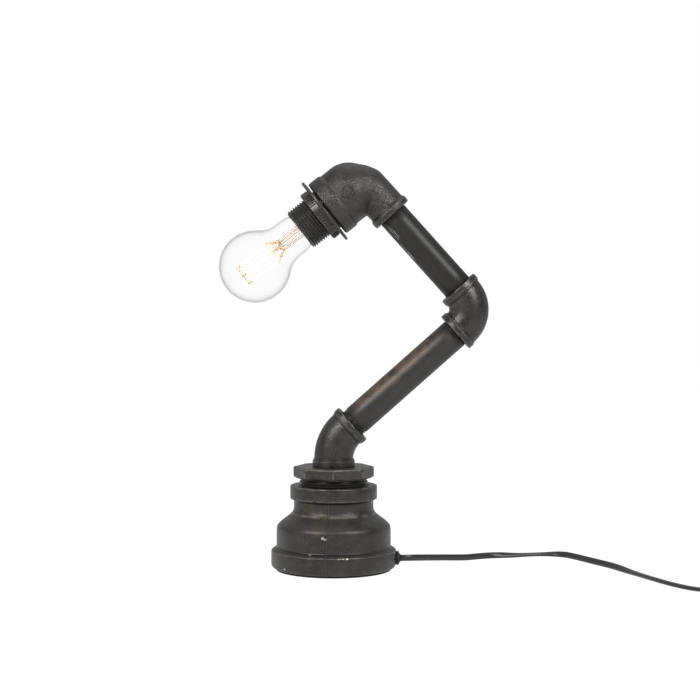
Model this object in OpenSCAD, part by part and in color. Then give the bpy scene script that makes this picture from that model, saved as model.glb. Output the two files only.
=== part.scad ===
// Industrial pipe table lamp: a cast reducer for a foot, two threaded pipes
// joined by elbows, and a screw lampholder with a clear filament bulb.
// Millimetres. +Z is up, +X is to the right of the arm, and the origin is on
// the table at the foot's centre. Pipe runs and axes all lie in the plane Y = 0.

/* [Arm] */
// Height of the lower elbow's corner above the table
elbow45_corner_z = 113.4; // [112:0.2:122]
// Lean of the lower pipe from vertical, to the right
lower_lean = 48.4; // [44:0.1:52]
// Corner to corner length of the lower pipe run
lower_run = 170.8; // [140:0.5:260]
// Lean of the upper pipe from vertical, to the left
upper_lean = 42; // [38:0.1:46]
// Corner to corner length of the upper pipe run
upper_run = 153.1; // [140:0.5:260]
// Angle of the lampholder's axis below horizontal
mouth_drop = 38.4; // [36:0.1:44]

/* [Pipe] */
// Outside diameter of the pipe
pipe_od = 26.7; // [26:0.1:27.4]
// Bore of the pipe
pipe_id = 20.9; // [18:0.1:21.2]
// Depth of a screwed pipe joint
engagement = 13.5; // [12:0.1:14]
// Length of thread cut on a pipe's end
thread_len = 18.6; // [15:0.1:24]
// Pitch of the pipe thread
thread_pitch = 1.814; // [1.4:0.01:2.4]
// Depth of the pipe thread
thread_depth = 0.9; // [0.4:0.05:1.1]
// Radial clearance of a screwed joint that turns
turn_fit = 0.05; // [0.02:0.01:0.1]

/* [Elbows] */
// Outside diameter of an elbow's body
elbow_od = 34.2; // [33:0.1:35.4]
// Outside diameter of the bead at an elbow's mouth
bead_od = 37.2; // [36.4:0.1:39]
// Width of that bead
bead_w = 6.8; // [5:0.1:8]
// Rounding of the bead's edges
bead_round = 1.2; // [0.4:0.1:1.6]
// Corner to face distance of the lower, shallow elbow
elbow45_face = 22.5; // [21.5:0.1:26]
// Corner to face distance of the square elbow
elbow90_face = 28.3; // [28:0.1:32]

/* [Reducing elbow] */
// Corner to face distance of the small branch
branch_face = 39.5; // [36:0.1:46]
// Corner to face distance of the wide mouth
mouth_face = 39.5; // [36:0.1:46]
// Outside diameter of the wide body
mouth_body_od = 51.6; // [50:0.1:53]
// Outside diameter of the wide mouth's bead
mouth_bead_od = 54.1; // [53:0.1:57]
// Width of the wide mouth's bead
mouth_bead_w = 12.7; // [8:0.1:15]
// Distance of the round heel's centre behind the mouth
heel_back = 24; // [20:0.5:27]
// Outside diameter of the branch's shoulder
shoulder_od = 34.2; // [33:0.1:35.4]
// Diameter of the plain round boss on the front of the heel
boss_d = 21; // [14:0.5:24]

/* [Foot] */
// Thickness of the pad under the foot
pad_t = 1.6; // [1:0.1:3]
// Diameter of the pad
pad_d = 102; // [96:0.5:108]
// Outside diameter of the foot's lower band
band_od = 109.9; // [106:0.1:116]
// Height of the top of the lower band
band_top = 17.6; // [15:0.1:19]
// Outside diameter of the foot's wide body
body_od = 100.6; // [98:0.1:103]
// Height at which the wide body ends
body_top = 36; // [33:0.5:38]
// Outside diameter of the foot's neck
neck_od = 69.9; // [68:0.1:72]
// Height at which the neck starts
neck_z = 53.2; // [51:0.1:55]
// Outside diameter of the foot's upper band
top_band_od = 76.4; // [74:0.1:80]
// Height of the underside of the upper band
top_band_z = 63; // [61:0.1:66]
// Height of the foot casting
foot_top = 74.3; // [73:0.1:77]
// Bore of the foot's open underside
foot_bore_d = 88.9; // [84:0.1:91]
// Diameter of the thread in the foot's top
foot_thread_d = 60.2; // [58:0.1:61]

/* [Bushing] */
// Height of the underside of the bushing's head
head_z = 80; // [79:0.1:82]
// Height of the top of the bushing's head
head_top = 88.5; // [87:0.1:89]
// Size across the corners of the eight-sided head
head_corners = 71.4; // [68:0.1:76]

/* [Lampholder] */
// Outside diameter of the threaded sleeve
sleeve_od = 39.3; // [38.6:0.1:39.9]
// Bore of the sleeve at its open end
sleeve_bore = 33.8; // [33.4:0.1:34.6]
// Length of sleeve beyond the elbow's mouth
sleeve_out = 30; // [29:0.1:33]
// Length of sleeve inside the elbow
sleeve_in = 20; // [18:0.1:21]
// Pitch of the sleeve's thread
sleeve_pitch = 2.5; // [2:0.05:3]
// Depth of the sleeve's thread
sleeve_thread = 0.7; // [0.3:0.05:0.9]
// Diameter of the shade ring's flange
ring_flange_d = 63; // [58:0.5:70]
// Thickness of the shade ring's flange
ring_flange_t = 2.4; // [1.8:0.1:3]
// Diameter of the shade ring's collar
ring_collar_d = 46.4; // [44:0.1:50]
// Length of the shade ring's collar
ring_collar_l = 7.7; // [6:0.1:10]
// Gap between the elbow's mouth and the shade ring
ring_gap = 1.5; // [0.5:0.1:2.5]
// Number of ribs around the shade ring's collar
ring_ribs = 24; // [12:2:36]

/* [Bulb] */
// Diameter of the bulb's globe
globe_d = 63; // [58:0.5:66]
// Distance of the globe's centre beyond the sleeve's open end
globe_out = 50.5; // [49:0.5:56]
// Diameter of the glass at the sleeve's open end
glass_neck_d = 31.4; // [30:0.1:32]
// Diameter of the glass neck beyond the sleeve
glass_swell_d = 34.8; // [33:0.1:37]
// Thickness of the glass
glass_wall = 0.8; // [0.6:0.05:1.2]
// Outside diameter of the bulb's screw cap
cap_od = 26.2; // [25.8:0.1:26.5]
// Pitch of the screw cap's thread
cap_pitch = 3.62; // [3.4:0.01:3.8]
// Length of one filament
filament_l = 33; // [28:0.5:36]
// Diameter of one filament
filament_d = 1.7; // [1.2:0.1:2.2]

/* [Cord] */
// Width of the flat twin cord
cord_w = 5.6; // [5:0.1:6]
// Thickness of the flat twin cord
cord_t = 3.4; // [3:0.1:3.6]
// Height of the cord's hole in the foot
cord_hole_z = 9.6; // [9.2:0.1:10]
// Diameter of the cord's hole in the foot
cord_hole_d = 10; // [9.6:0.1:11]
// Diameter of the grommet's outer flange
grommet_d = 13.4; // [13:0.1:15]
// How far the grommet stands out of the foot
grommet_out = 3.8; // [2:0.1:5]
// Turns in each layer of the put-away coil
coil_turns = 3; // [2:1:4]
// Radius of the coil's outer turn
coil_r = 40.5; // [38:0.5:50]

/* [Cord switch] */
// Length of the switch on the cord
switch_l = 62; // [56:0.5:80]
// Width of the switch
switch_w = 25; // [23:0.5:32]
// Height of each half of the switch's case
switch_half = 9.5; // [9:0.1:12]

/* [Plug] */
// Length of the plug's body
plug_l = 36; // [32:0.5:45]
// Width of the plug's body
plug_w = 34; // [30:0.5:36]
// Thickness of the plug's body
plug_t = 13.7; // [12:0.1:16]
// Distance between the plug's pins
pin_gap = 18.6; // [17:0.1:19.5]
// Length of the plug's pins
pin_l = 19; // [17:0.1:20]

/* [Hidden] */
$fn = 96;

// Finish colours, as the eye reads them from a step away.
iron = [0.25, 0.24, 0.23];
dull_black = [0.09, 0.09, 0.1];
cord_black = [0.06, 0.06, 0.07];
brass = [0.78, 0.62, 0.32];
nickel = [0.72, 0.71, 0.68];

// Clearances: a piece that only sits in another, and one that stays clear.
seat_fit = 0.05;
clear = 0.3;
// Length of sliver by which one cut runs past the face that it opens.
past = 0.5;

// ---- Directions and corners ------------------------------------------------
// A direction in the arm's plane, given as an angle from vertical to the right.
function dir(a) = [sin(a), 0, cos(a)];
// Points of an arc in a flat outline.
function arc(cx, cy, r, a0, a1, n) =
  [for (i = [0:n]) [cx + r*cos(a0 + (a1 - a0)*i/n), cy + r*sin(a0 + (a1 - a0)*i/n)]];
// Points of a smooth curve between two ends with two pull points.
function curve(a, b, c, d, n) =
  [for (i = [0:n]) let (t = i/n, u = 1 - t)
    a*u*u*u + b*3*u*u*t + c*3*u*t*t + d*t*t*t];

lean_out = -upper_lean;
mouth_lean = -(90 + mouth_drop);
corner_low = [0, 0, elbow45_corner_z];
corner_mid = corner_low + lower_run*dir(lower_lean);
corner_top = corner_mid + upper_run*dir(lean_out);
mouth_centre = corner_top + mouth_face*dir(mouth_lean);

pipe_r = pipe_od/2;
socket_r = pipe_r + turn_fit;
passage_r = pipe_id/2;
tip_gap = 0.4;  // left between a pipe's end and the bottom of its socket

// Stands the children's Z axis along direction a, from point p.
module along(p, a) translate(p) rotate([0, a, 0]) children();

// Sweeps the flat children round the bend of a corner between two runs.
module bend(corner, a_in, a_out, r) {
  side = a_out > a_in ? 1 : -1;
  reach = r*tan(abs(a_out - a_in)/2);
  centre = corner - reach*dir(a_in) + r*dir(a_in + 90*side);
  from = a_in - 90*side;
  to = a_out - 90*side;
  translate(centre)
    rotate([90, 0, 0])
      rotate([0, 0, 90 - max(from, to)])
        rotate_extrude(angle = abs(to - from))
          translate([r, 0]) children();
}

// Outline of a threaded pipe's outside: plain, with ridged ends.
function ridges(z0, n, r, up) =
  [for (i = [0:n - 1]) each [
    [r - thread_depth, z0 + up*i*thread_pitch],
    [r, z0 + up*(i + 0.5)*thread_pitch]]];

module pipe(length, n) {
  outer = concat(
    ridges(0, n, pipe_r, 1),
    [[pipe_r, n*thread_pitch], [pipe_r, length - n*thread_pitch]],
    [for (i = [n - 1:-1:0]) each [
      [pipe_r, length - (i + 0.5)*thread_pitch],
      [pipe_r - thread_depth, length - i*thread_pitch]]]);
  rotate_extrude()
    polygon(concat([[passage_r, 0]], outer, [[passage_r, length]]));
}

pipe_threads = round(thread_len/thread_pitch);

// A bead round an elbow's mouth, from z = 0 up to z = w.
module bead(r, w) {
  rotate_extrude()
    polygon(concat([[0, 0]],
      arc(r - bead_round, bead_round, bead_round, -90, 0, 4),
      arc(r - bead_round, w - bead_round, bead_round, 0, 90, 4),
      [[0, w]]));
}

// The bend runs from bead to bead, so its radius follows from their places.
function bend_radius(face, turn) = (face - bead_w + 0.6)/tan(turn/2);
elbow45_bend = bend_radius(elbow45_face, lower_lean);
elbow90_bend = bend_radius(elbow90_face, lower_lean - lean_out);

// A bent fitting with the same bead and socket at both ends.
module elbow(corner, a_in, a_out, face, r) {
  starts = [[corner - face*dir(a_in), a_in], [corner + face*dir(a_out), a_out + 180]];
  difference() {
    union() {
      bend(corner, a_in, a_out, r) circle(elbow_od/2);
      for (s = starts) along(s[0], s[1]) bead(bead_od/2, bead_w);
    }
    bend(corner, a_in, a_out, r) circle(passage_r);
    for (s = starts) along(s[0], s[1])
      translate([0, 0, -past]) cylinder(h = engagement + past, r = socket_r);
  }
}

// ---- Foot --------------------------------------------------------------------
foot_r = band_od/2;

module base_pad() {
  color(dull_black) cylinder(h = pad_t, d = pad_d);
}

// Where the grommet's flange meets the band, and the inside of the wall there.
grommet_x = foot_r + 0.05;
wall_x = foot_bore_d/2;

module base_reducer() {
  rim = 4;
  outer = concat(
    [[foot_bore_d/2, pad_t]],
    arc(foot_r - rim, pad_t + rim, rim, -90, 0, 5),
    [[foot_r, band_top], [foot_r - 2.3, band_top + 2.2], [body_od/2, band_top + 4]],
    curve([body_od/2, body_top], [body_od/2 - 0.6, body_top + 5],
          [neck_od/2 + 5, neck_z - 5], [neck_od/2 + 0.6, neck_z - 1], 10),
    [[neck_od/2, neck_z], [neck_od/2, top_band_z - 2.8],
     [top_band_od/2 - 0.8, top_band_z - 1], [top_band_od/2, top_band_z]],
    arc(top_band_od/2 - 1, foot_top - 1, 1, 0, 90, 3),
    [[foot_thread_d/2 + seat_fit, foot_top],
     [foot_thread_d/2 + seat_fit, neck_z + 1],
     [foot_thread_d/2 - 2, neck_z - 1],
     [foot_bore_d/2, body_top - 4]]);
  color(iron) difference() {
    rotate_extrude() polygon(outer);
    translate([0, 0, cord_hole_z]) rotate([0, 90, 0])
      cylinder(h = foot_r + 1, d = cord_hole_d);
  }
}

bushing_r = foot_thread_d/2;
bushing_bottom = neck_z + 2.5;
nipple_bottom = head_top - engagement;

module base_bushing() {
  thread_n = floor((head_z - bushing_bottom - 1)/thread_pitch);
  thread_top = bushing_bottom + thread_n*thread_pitch;
  color(iron) difference() {
    union() {
      rotate_extrude() polygon(concat(
        [[0, bushing_bottom]],
        [for (i = [0:thread_n - 1]) each [
          [bushing_r - thread_depth, bushing_bottom + i*thread_pitch],
          [bushing_r, bushing_bottom + (i + 0.5)*thread_pitch]]],
        [[bushing_r - thread_depth, thread_top], [bushing_r - thread_depth, head_z + 1],
         [0, head_z + 1]]));
      intersection() {
        translate([0, 0, head_z - past]) cylinder(h = head_top - head_z + past, d = head_corners, $fn = 8);
        rotate_extrude() polygon([
          [0, head_z - past], [head_corners/2 - 3.2, head_z - past],
          [head_corners/2 - 0.9, head_z + 1.2], [head_corners/2 + 0.1, head_z + 2.2],
          [head_corners/2 + 0.1, head_top - 1.1], [head_corners/2 - 1.3, head_top],
          [0, head_top]]);
      }
    }
    translate([0, 0, nipple_bottom]) cylinder(h = engagement + 1, r = pipe_r + seat_fit);
    translate([0, 0, bushing_bottom - 1]) cylinder(h = head_top, r = passage_r);
    translate([0, 0, bushing_bottom - 1])
      cylinder(h = nipple_bottom - 5 - bushing_bottom + 1, r = bushing_r - 5.5);
  }
}

elbow45_bottom = elbow45_corner_z - elbow45_face;

module close_nipple() {
  length = elbow45_bottom + engagement - tip_gap - nipple_bottom;
  ridge_n = floor(length/thread_pitch);
  spare = length - ridge_n*thread_pitch;
  color(iron) translate([0, 0, nipple_bottom]) rotate_extrude() polygon(concat(
    [[passage_r, 0]],
    ridges(0, ridge_n, pipe_r, 1),
    [[pipe_r - thread_depth, length - spare], [pipe_r - thread_depth, length],
     [passage_r, length]]));
}

// ---- Arm ---------------------------------------------------------------------
module elbow_45() {
  color(iron) elbow(corner_low, 0, lower_lean, elbow45_face, elbow45_bend);
}

lower_start = elbow45_face - engagement + tip_gap;
lower_end = lower_run - (elbow90_face - engagement + tip_gap);
upper_start = elbow90_face - engagement + tip_gap;
upper_end = upper_run - (branch_face - engagement + tip_gap);

module lower_pipe() {
  color(iron) along(corner_low + lower_start*dir(lower_lean), lower_lean)
    pipe(lower_end - lower_start, pipe_threads);
}

module elbow_90() {
  color(iron) elbow(corner_mid, lower_lean, lean_out, elbow90_face, elbow90_bend);
}

module upper_pipe() {
  color(iron) along(corner_mid + upper_start*dir(lean_out), lean_out)
    pipe(upper_end - upper_start, pipe_threads);
}

// ---- Reducing elbow ------------------------------------------------------------
heel = corner_top + (mouth_face - heel_back)*dir(mouth_lean);
heel_r = mouth_body_od/2 + 0.3;
shoulder_r = shoulder_od/2;
shoulder_back = 6;    // the branch's shoulder ball sits this far short of the corner
shoulder = corner_top - shoulder_back*dir(lean_out);
sleeve_r = sleeve_od/2;
mouth_bore_r = sleeve_r + seat_fit;
cavity_r = mouth_body_od/2 - 4.8;

// Balls stand this little proud of the cones and cylinders that meet them.
joint_step = 0.12;

// A cone that touches two balls, so that their outlines run into each other.
module tangent_cone(a, ra, b, rb) {
  d = norm(b - a);
  s = (rb - ra)/d;
  c = sqrt(1 - s*s);
  way = atan2((b - a)[0], (b - a)[2]);
  along(a, way) translate([0, 0, -ra*s])
    cylinder(h = d - (rb - ra)*s, r1 = ra*c - joint_step, r2 = rb*c - joint_step);
}

module reducing_elbow() {
  branch = corner_top - branch_face*dir(lean_out);
  color(iron) difference() {
    union() {
      translate(heel) sphere(heel_r);
      along(heel, mouth_lean) cylinder(h = heel_back, d = mouth_body_od);
      along(mouth_centre, mouth_lean + 180) bead(mouth_bead_od/2, mouth_bead_w);
      translate(shoulder) sphere(shoulder_r);
      tangent_cone(shoulder, shoulder_r, heel, heel_r);
      along(branch, lean_out) {
        cylinder(h = branch_face - shoulder_back, r = shoulder_r - joint_step);
        bead(bead_od/2, bead_w);
      }
      // the plain round boss on the front
      translate(heel) rotate([90, 0, 0]) cylinder(h = heel_r + 0.5, d = boss_d);
    }
    translate(heel) sphere(cavity_r);
    along(heel, mouth_lean) cylinder(h = heel_r + past, r = mouth_bore_r);
    along(branch, lean_out) {
      translate([0, 0, -past]) cylinder(h = engagement + past, r = socket_r);
      cylinder(h = branch_face - 4, r = passage_r);
    }
  }
}

// ---- Lampholder ------------------------------------------------------------------
// Everything on the holder's axis is drawn from the elbow's mouth outwards.
module holder_axis() along(mouth_centre, mouth_lean) children();

ring_start = ring_gap;
ring_end = ring_gap + ring_flange_t + ring_collar_l;

module holder_sleeve() {
  thread_n = floor((sleeve_out - ring_gap - 1.2)/sleeve_pitch);
  lip = 1;
  color(dull_black) holder_axis() rotate_extrude() polygon(concat(
    [[sleeve_bore/2 - 0.3, -sleeve_in], [sleeve_r, -sleeve_in], [sleeve_r, ring_gap]],
    [for (i = [0:thread_n - 1]) each [
      [sleeve_r - sleeve_thread, ring_gap + (i + 0.3)*sleeve_pitch],
      [sleeve_r, ring_gap + (i + 0.55)*sleeve_pitch],
      [sleeve_r, ring_gap + (i + 0.8)*sleeve_pitch]]],
    [[sleeve_r - sleeve_thread, ring_gap + (thread_n + 0.05)*sleeve_pitch],
     [sleeve_r - sleeve_thread, sleeve_out - lip],
     [sleeve_r - sleeve_thread - lip/2, sleeve_out], [sleeve_bore/2 + lip/2, sleeve_out],
     [sleeve_bore/2, sleeve_out - lip], [sleeve_bore/2, -sleeve_in + 6],
     [sleeve_bore/2 - 0.3, -sleeve_in + 6]]));
}

cap_wall = 2.2;
cap_depth = 8;

module holder_cap() {
  color(dull_black) holder_axis() difference() {
    rotate_extrude() polygon([
      [0, -sleeve_in - cap_depth], [8, -sleeve_in - cap_depth],
      [sleeve_r - 4.5, -sleeve_in - 4], [sleeve_r - 2.6, -sleeve_in],
      [0, -sleeve_in]]);
    rotate_extrude() polygon([
      [0, -sleeve_in - cap_depth + cap_wall], [7, -sleeve_in - cap_depth + cap_wall],
      [sleeve_r - 7, -sleeve_in - 3], [sleeve_r - 6, -sleeve_in + past], [0, -sleeve_in + past]]);
    translate([0, 0, -sleeve_in - cap_depth - 1]) cylinder(h = 5, d = cord_w + 2*clear);
  }
}

insulator_top = -7;
insulator_r = sleeve_bore/2 - 0.3 - seat_fit;

module holder_insulator() {
  color([0.86, 0.84, 0.78]) holder_axis() difference() {
    translate([0, 0, -sleeve_in]) cylinder(h = sleeve_in + insulator_top, r = insulator_r);
    // two wire holes and the terminal screws' holes
    for (x = [-1, 1]) {
      translate([0, x*8, -sleeve_in - 1]) cylinder(h = sleeve_in + 2, d = 3.4);
      translate([x*9, 0, -sleeve_in - 1]) cylinder(h = sleeve_in + 2, d = 3);
    }
  }
}

shell_r = cap_od/2 + clear + 0.35;
shell_end = 23;

module screw_shell() {
  color(brass) holder_axis() difference() {
    translate([0, 0, insulator_top]) cylinder(h = shell_end - insulator_top, r = shell_r + 0.5);
    translate([0, 0, insulator_top + 0.8]) cylinder(h = shell_end - insulator_top, r = shell_r);
    // the floor is open round the centre contact and the screws
    translate([0, 0, insulator_top - 1]) cylinder(h = 3, d = 12.5);
    for (x = [-1, 1]) translate([0, x*8, insulator_top - 1]) cylinder(h = 3, d = 3.4);
  }
}

tip_z = 2;      // where the bulb's centre contact meets the holder's

module centre_contact() {
  strip = 0.6;
  color(brass) holder_axis() {
    translate([-3, -2.5, insulator_top]) cube([6, 5, strip]);
    translate([-3, -2.5, insulator_top]) cube([strip, 5, tip_z - insulator_top - clear]);
    translate([-3, -2.5, tip_z - clear - strip]) cube([6, 5, strip]);
  }
}

module side_contact() {
  color(brass) holder_axis() difference() {
    translate([0, 0, insulator_top + 0.8]) cylinder(h = 0.8, r = shell_r - 0.2);
    translate([0, 0, insulator_top]) cylinder(h = 3, d = 13);
    translate([-20, -20, insulator_top]) cube([40, 24, 3]);
    for (x = [-1, 1]) translate([0, x*8, insulator_top - 1]) cylinder(h = 4, d = 3.4);
  }
}

module terminal_screws() {
  color(nickel) holder_axis() for (x = [-1, 1]) translate([x*9, 0, -sleeve_in - 1.6]) {
    cylinder(h = 1.6, d = 5);
    cylinder(h = sleeve_in + insulator_top, d = 3 - 2*seat_fit);
  }
}

// Ribs stand on the ring's collar in four groups, with plain panels between.
module shade_ring() {
  collar_r = ring_collar_d/2;
  bore_r = sleeve_r + turn_fit;
  color(dull_black) holder_axis() difference() {
    union() {
      rotate_extrude() polygon(concat(
        [[bore_r, ring_start]],
        arc(ring_flange_d/2 - 0.8, ring_start + 0.8, 0.8, -90, 0, 3),
        arc(ring_flange_d/2 - 0.8, ring_start + ring_flange_t - 0.8, 0.8, 0, 90, 3),
        [[collar_r, ring_start + ring_flange_t],
         [collar_r, ring_end - 0.6], [collar_r - 0.6, ring_end], [bore_r, ring_end]]));
      for (i = [0:ring_ribs - 1]) if (i % 6 < 3)
        rotate([0, 0, 360*i/ring_ribs])
          translate([collar_r - 0.4, -1.3, ring_start + ring_flange_t - 0.2])
            cube([1.1, 2.6, ring_collar_l - 0.6]);
    }
  }
}

// ---- Bulb --------------------------------------------------------------------------
globe_z = sleeve_out + globe_out;
globe_r = globe_d/2;
cap_r = cap_od/2;
cap_start = tip_z + 4.5;
cap_end = sleeve_out - 3;
glass_start = cap_end - 7;
join_a = -39;     // where the neck's curve runs into the globe
join_pull = 9;    // how softly it does so
swell_r = glass_swell_d/2;

function glass_outline(wall) = let (r = globe_r - wall, neck_r = glass_neck_d/2 - wall,
    wide_r = swell_r - wall, join = [r*cos(join_a), globe_z + r*sin(join_a)]) concat(
  curve([cap_r - 1.9 - wall, glass_start], [cap_r - 1.7 - wall, cap_end - 1],
        [cap_r - 0.4 - wall, cap_end + 0.2], [neck_r, sleeve_out], 6),
  curve([neck_r, sleeve_out], [neck_r + 0.9, sleeve_out + 2.5],
        [wide_r, sleeve_out + 4.5], [wide_r, sleeve_out + 8], 5),
  curve([wide_r, sleeve_out + 12], [wide_r, sleeve_out + 12 + join_pull],
        join - join_pull*[-sin(join_a), cos(join_a)], join, 9),
  arc(0, globe_z, r, join_a + 6, 90, 20));

module bulb_glass() {
  color([0.9, 0.9, 0.88, 0.35]) holder_axis() rotate_extrude() polygon(concat(
    glass_outline(0),
    [for (i = [len(glass_outline(glass_wall)) - 1:-1:0]) glass_outline(glass_wall)[i]]));
}

module bulb_cap() {
  wall = 0.35;
  turns = floor((cap_end - cap_start - 6)/cap_pitch);
  root = 1;
  outer = concat(
    [[cap_r - 4, cap_start - 1.6], [cap_r - root - 0.4, cap_start]],
    [for (i = [0:turns - 1]) each [
      [cap_r - root, cap_start + (i + 0.05)*cap_pitch],
      [cap_r - root*0.3, cap_start + (i + 0.3)*cap_pitch],
      [cap_r, cap_start + (i + 0.5)*cap_pitch],
      [cap_r - root*0.3, cap_start + (i + 0.7)*cap_pitch]]],
    [[cap_r - root, cap_start + (turns + 0.05)*cap_pitch], [cap_r - 0.35, cap_end - 4],
     [cap_r + 0.7, cap_end]]);
  color(nickel) holder_axis() rotate_extrude() polygon(concat(
    outer,
    [for (i = [len(outer) - 1:-1:0]) outer[i] - [wall, 0]]));
}

module cap_insulator() {
  color([0.1, 0.1, 0.12]) holder_axis() rotate_extrude() polygon([
    [4.6, tip_z + 0.9], [6, tip_z + 0.9], [cap_r - 4.4, cap_start - 1.6],
    [cap_r - 4.4, cap_start + 0.6], [4.6, cap_start + 0.6]]);
}

module cap_contact() {
  color(brass) holder_axis() rotate_extrude() polygon([
    [0, tip_z], [3, tip_z + 0.1], [4.5, tip_z + 0.7], [4.5, tip_z + 2.2], [0, tip_z + 2.2]]);
}

// The glass stem that carries the filaments, flared where it joins the neck.
stem_tip = sleeve_out + 22;
stem_tip_r = 3.4;
post_r = 1.2;
fil_start = stem_tip + 8;
near_r = 9.5;   // the filaments lie on a slight cone about the bulb's axis
far_r = 8.2;
fil_tilt = asin((near_r - far_r)/filament_l);
fil_end = fil_start + filament_l*cos(fil_tilt);

module bulb_stem() {
  color([0.9, 0.9, 0.88, 0.4]) holder_axis() rotate_extrude() polygon([
    [0, cap_end - 5], [cap_r - 2.9, cap_end - 5],
    [cap_r - 3.6, cap_end - 3.4], [7, cap_end + 6], [6.6, stem_tip - 4],
    [stem_tip_r, stem_tip], [post_r, stem_tip + 1], [post_r, fil_end + 1],
    [0, fil_end + 2]]);
}

module each_filament() {
  for (a = [0:90:270]) rotate([0, 0, a]) translate([near_r, 0, fil_start])
    rotate([0, -fil_tilt, 0]) children();
}

module filaments() {
  color([1, 0.78, 0.4]) holder_axis() each_filament()
    cylinder(h = filament_l, d = filament_d, $fn = 24);
}

// Each wire ends 0.3 short of what it is welded to or set in.
module filament_wires() {
  wire = 0.6;
  foot = stem_tip_r + clear + wire/2;
  rise = fil_start - stem_tip - clear;
  color([0.72, 0.45, 0.3]) holder_axis() {
    // from the stem's tip out to the filaments' near ends
    for (a = [0:90:270]) rotate([0, 0, a])
      translate([foot, 0, stem_tip]) rotate([0, atan2(near_r - foot, rise), 0])
        cylinder(h = norm([near_r - foot, rise]) - clear, d = wire, $fn = 16);
    // from the post out over the filaments' far ends
    for (a = [0:90:270]) rotate([0, 0, a])
      translate([post_r + clear, 0, fil_end + clear + wire/2])
        rotate([0, 90, 0]) cylinder(h = far_r - post_r - clear, d = wire, $fn = 16);
  }
}

// ---- Flat twin cord -------------------------------------------------------------------
// Section of the flat cord as n points: x across its width, y across its thickness.
function cord_section(n) = [for (i = [0:n - 1]) let (a = 360*(i + 0.5)/n)
  [cord_w/2*sign(cos(a))*pow(abs(cos(a)), 0.75), cord_t/2*sign(sin(a))*pow(abs(sin(a)), 0.75)]];

function unit(v) = v/norm(v);
function heading(p, i) = unit(p[min(i + 1, len(p) - 1)] - p[max(i - 1, 0)]);
// Sideways direction of ring i: level on the table, or along Y inside the pipes.
function across(p, i, level) = level ? unit(cross([0, 0, 1], heading(p, i))) : [0, 1, 0];

// Rings of points along a route. first and last square the end rings.
function rings(p, n, level) = [for (i = [0:len(p) - 1])
  let (s = across(p, i, level), t = heading(p, i), u = cross(t, s))
    [for (q = cord_section(n)) p[i] + s*q[0] + u*q[1]]];

module tube(ring_list, n) {
  last = len(ring_list) - 1;
  points = [for (r = ring_list) each r];
  sides = [for (i = [0:last - 1], j = [0:n - 1]) let (k = (j + 1) % n) each [
    [i*n + j, (i + 1)*n + j, (i + 1)*n + k], [i*n + j, (i + 1)*n + k, i*n + k]]];
  lids = [[for (j = [0:n - 1]) j], [for (j = [n - 1:-1:0]) last*n + j]];
  polyhedron(points, concat(sides, lids));
}

// A route inside the pipes: round each corner on the elbow's own bend radius.
function round_corner(corner, a_in, a_out, r, n) =
  let (s = a_out > a_in ? 1 : -1, reach = r*tan(abs(a_out - a_in)/2),
       centre = corner - reach*dir(a_in) + r*dir(a_in + 90*s))
    [for (i = [0:n]) centre - r*dir(a_in + 90*s + (a_out - a_in)*i/n)];

cable_sides = 8;
base_split = elbow45_bottom + 5;     // the cable turns here with the lower elbow
arm_split = lower_start + 8;
head_split = upper_end - 8;
half_cut = 0.15;
grommet_face = grommet_x + grommet_out;

base_route = [
  [grommet_face, 0, cord_hole_z], [50, 0, cord_hole_z], [40, 0, cord_hole_z],
  [33, 0, cord_hole_z], [26, 0, 11.8], [19, 0, 17.5], [12.5, 0, 26], [7, 0, 38], [2, 0, 52], [0, 0, 64],
  [0, 0, 80], [0, 0, base_split - half_cut]];

module cable_in_base() {
  color(cord_black) tube(rings(base_route, cable_sides, false), cable_sides);
}

module cable_in_elbow() {
  route = concat([[0, 0, base_split + half_cut]],
    round_corner(corner_low, 0, lower_lean, elbow45_bend, 5),
    [corner_low + (arm_split - half_cut)*dir(lower_lean)]);
  color(cord_black) tube(rings(route, cable_sides, false), cable_sides);
}

module cable_in_arm() {
  route = concat([corner_low + (arm_split + half_cut)*dir(lower_lean)],
    round_corner(corner_mid, lower_lean, lean_out, elbow90_bend, 8),
    [corner_mid + (head_split - half_cut)*dir(lean_out)]);
  color(cord_black) tube(rings(route, cable_sides, false), cable_sides);
}

module cable_in_head() {
  end = mouth_centre - (sleeve_in + clear)*dir(mouth_lean);
  route = concat([corner_mid + (head_split + half_cut)*dir(lean_out)],
    round_corner(corner_top, lean_out, mouth_lean, 9, 6),
    [end]);
  color(cord_black) tube(rings(route, cable_sides, false), cable_sides);
}

// A flat slot with round ends, for the cord, as a flat outline.
module cord_slot(gap) {
  square([cord_w - cord_t, cord_t + 2*gap], center = true);
  for (s = [-1, 1]) translate([s*(cord_w - cord_t)/2, 0]) circle(cord_t/2 + gap);
}

module cord_grommet() {
  neck = grommet_x - wall_x + 1.5;
  color(dull_black) translate([0, 0, cord_hole_z]) rotate([0, 90, 0]) difference() {
    union() {
      translate([0, 0, grommet_x]) rotate_extrude() polygon(concat(
        [[0, 0]], [[grommet_d/2, 0]],
        arc(grommet_d/2 - 1.6, grommet_out - 1.6, 1.6, 0, 90, 4), [[0, grommet_out]]));
      translate([0, 0, wall_x - 1.8]) cylinder(h = neck + past, r = cord_hole_d/2 - seat_fit);
      translate([0, 0, wall_x - 3.6]) cylinder(h = 2.6, r = cord_hole_d/2 + 1.2);
    }
    translate([0, 0, wall_x - 5]) linear_extrude(grommet_x - wall_x + grommet_out + 8)
      rotate(90) cord_slot(seat_fit);
  }
}

module cable_tie() {
  x = wall_x - 9;
  color([0.88, 0.87, 0.82]) translate([x, 0, cord_hole_z]) rotate([0, 90, 0]) difference() {
    union() {
      linear_extrude(3.6) rotate(90) cord_slot(1.3);
      translate([-6.5, -2.4, 0]) cube([5, 4.8, 3.6]);
    }
    translate([0, 0, -1]) linear_extrude(8) rotate(90) cord_slot(seat_fit);
  }
}

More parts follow.
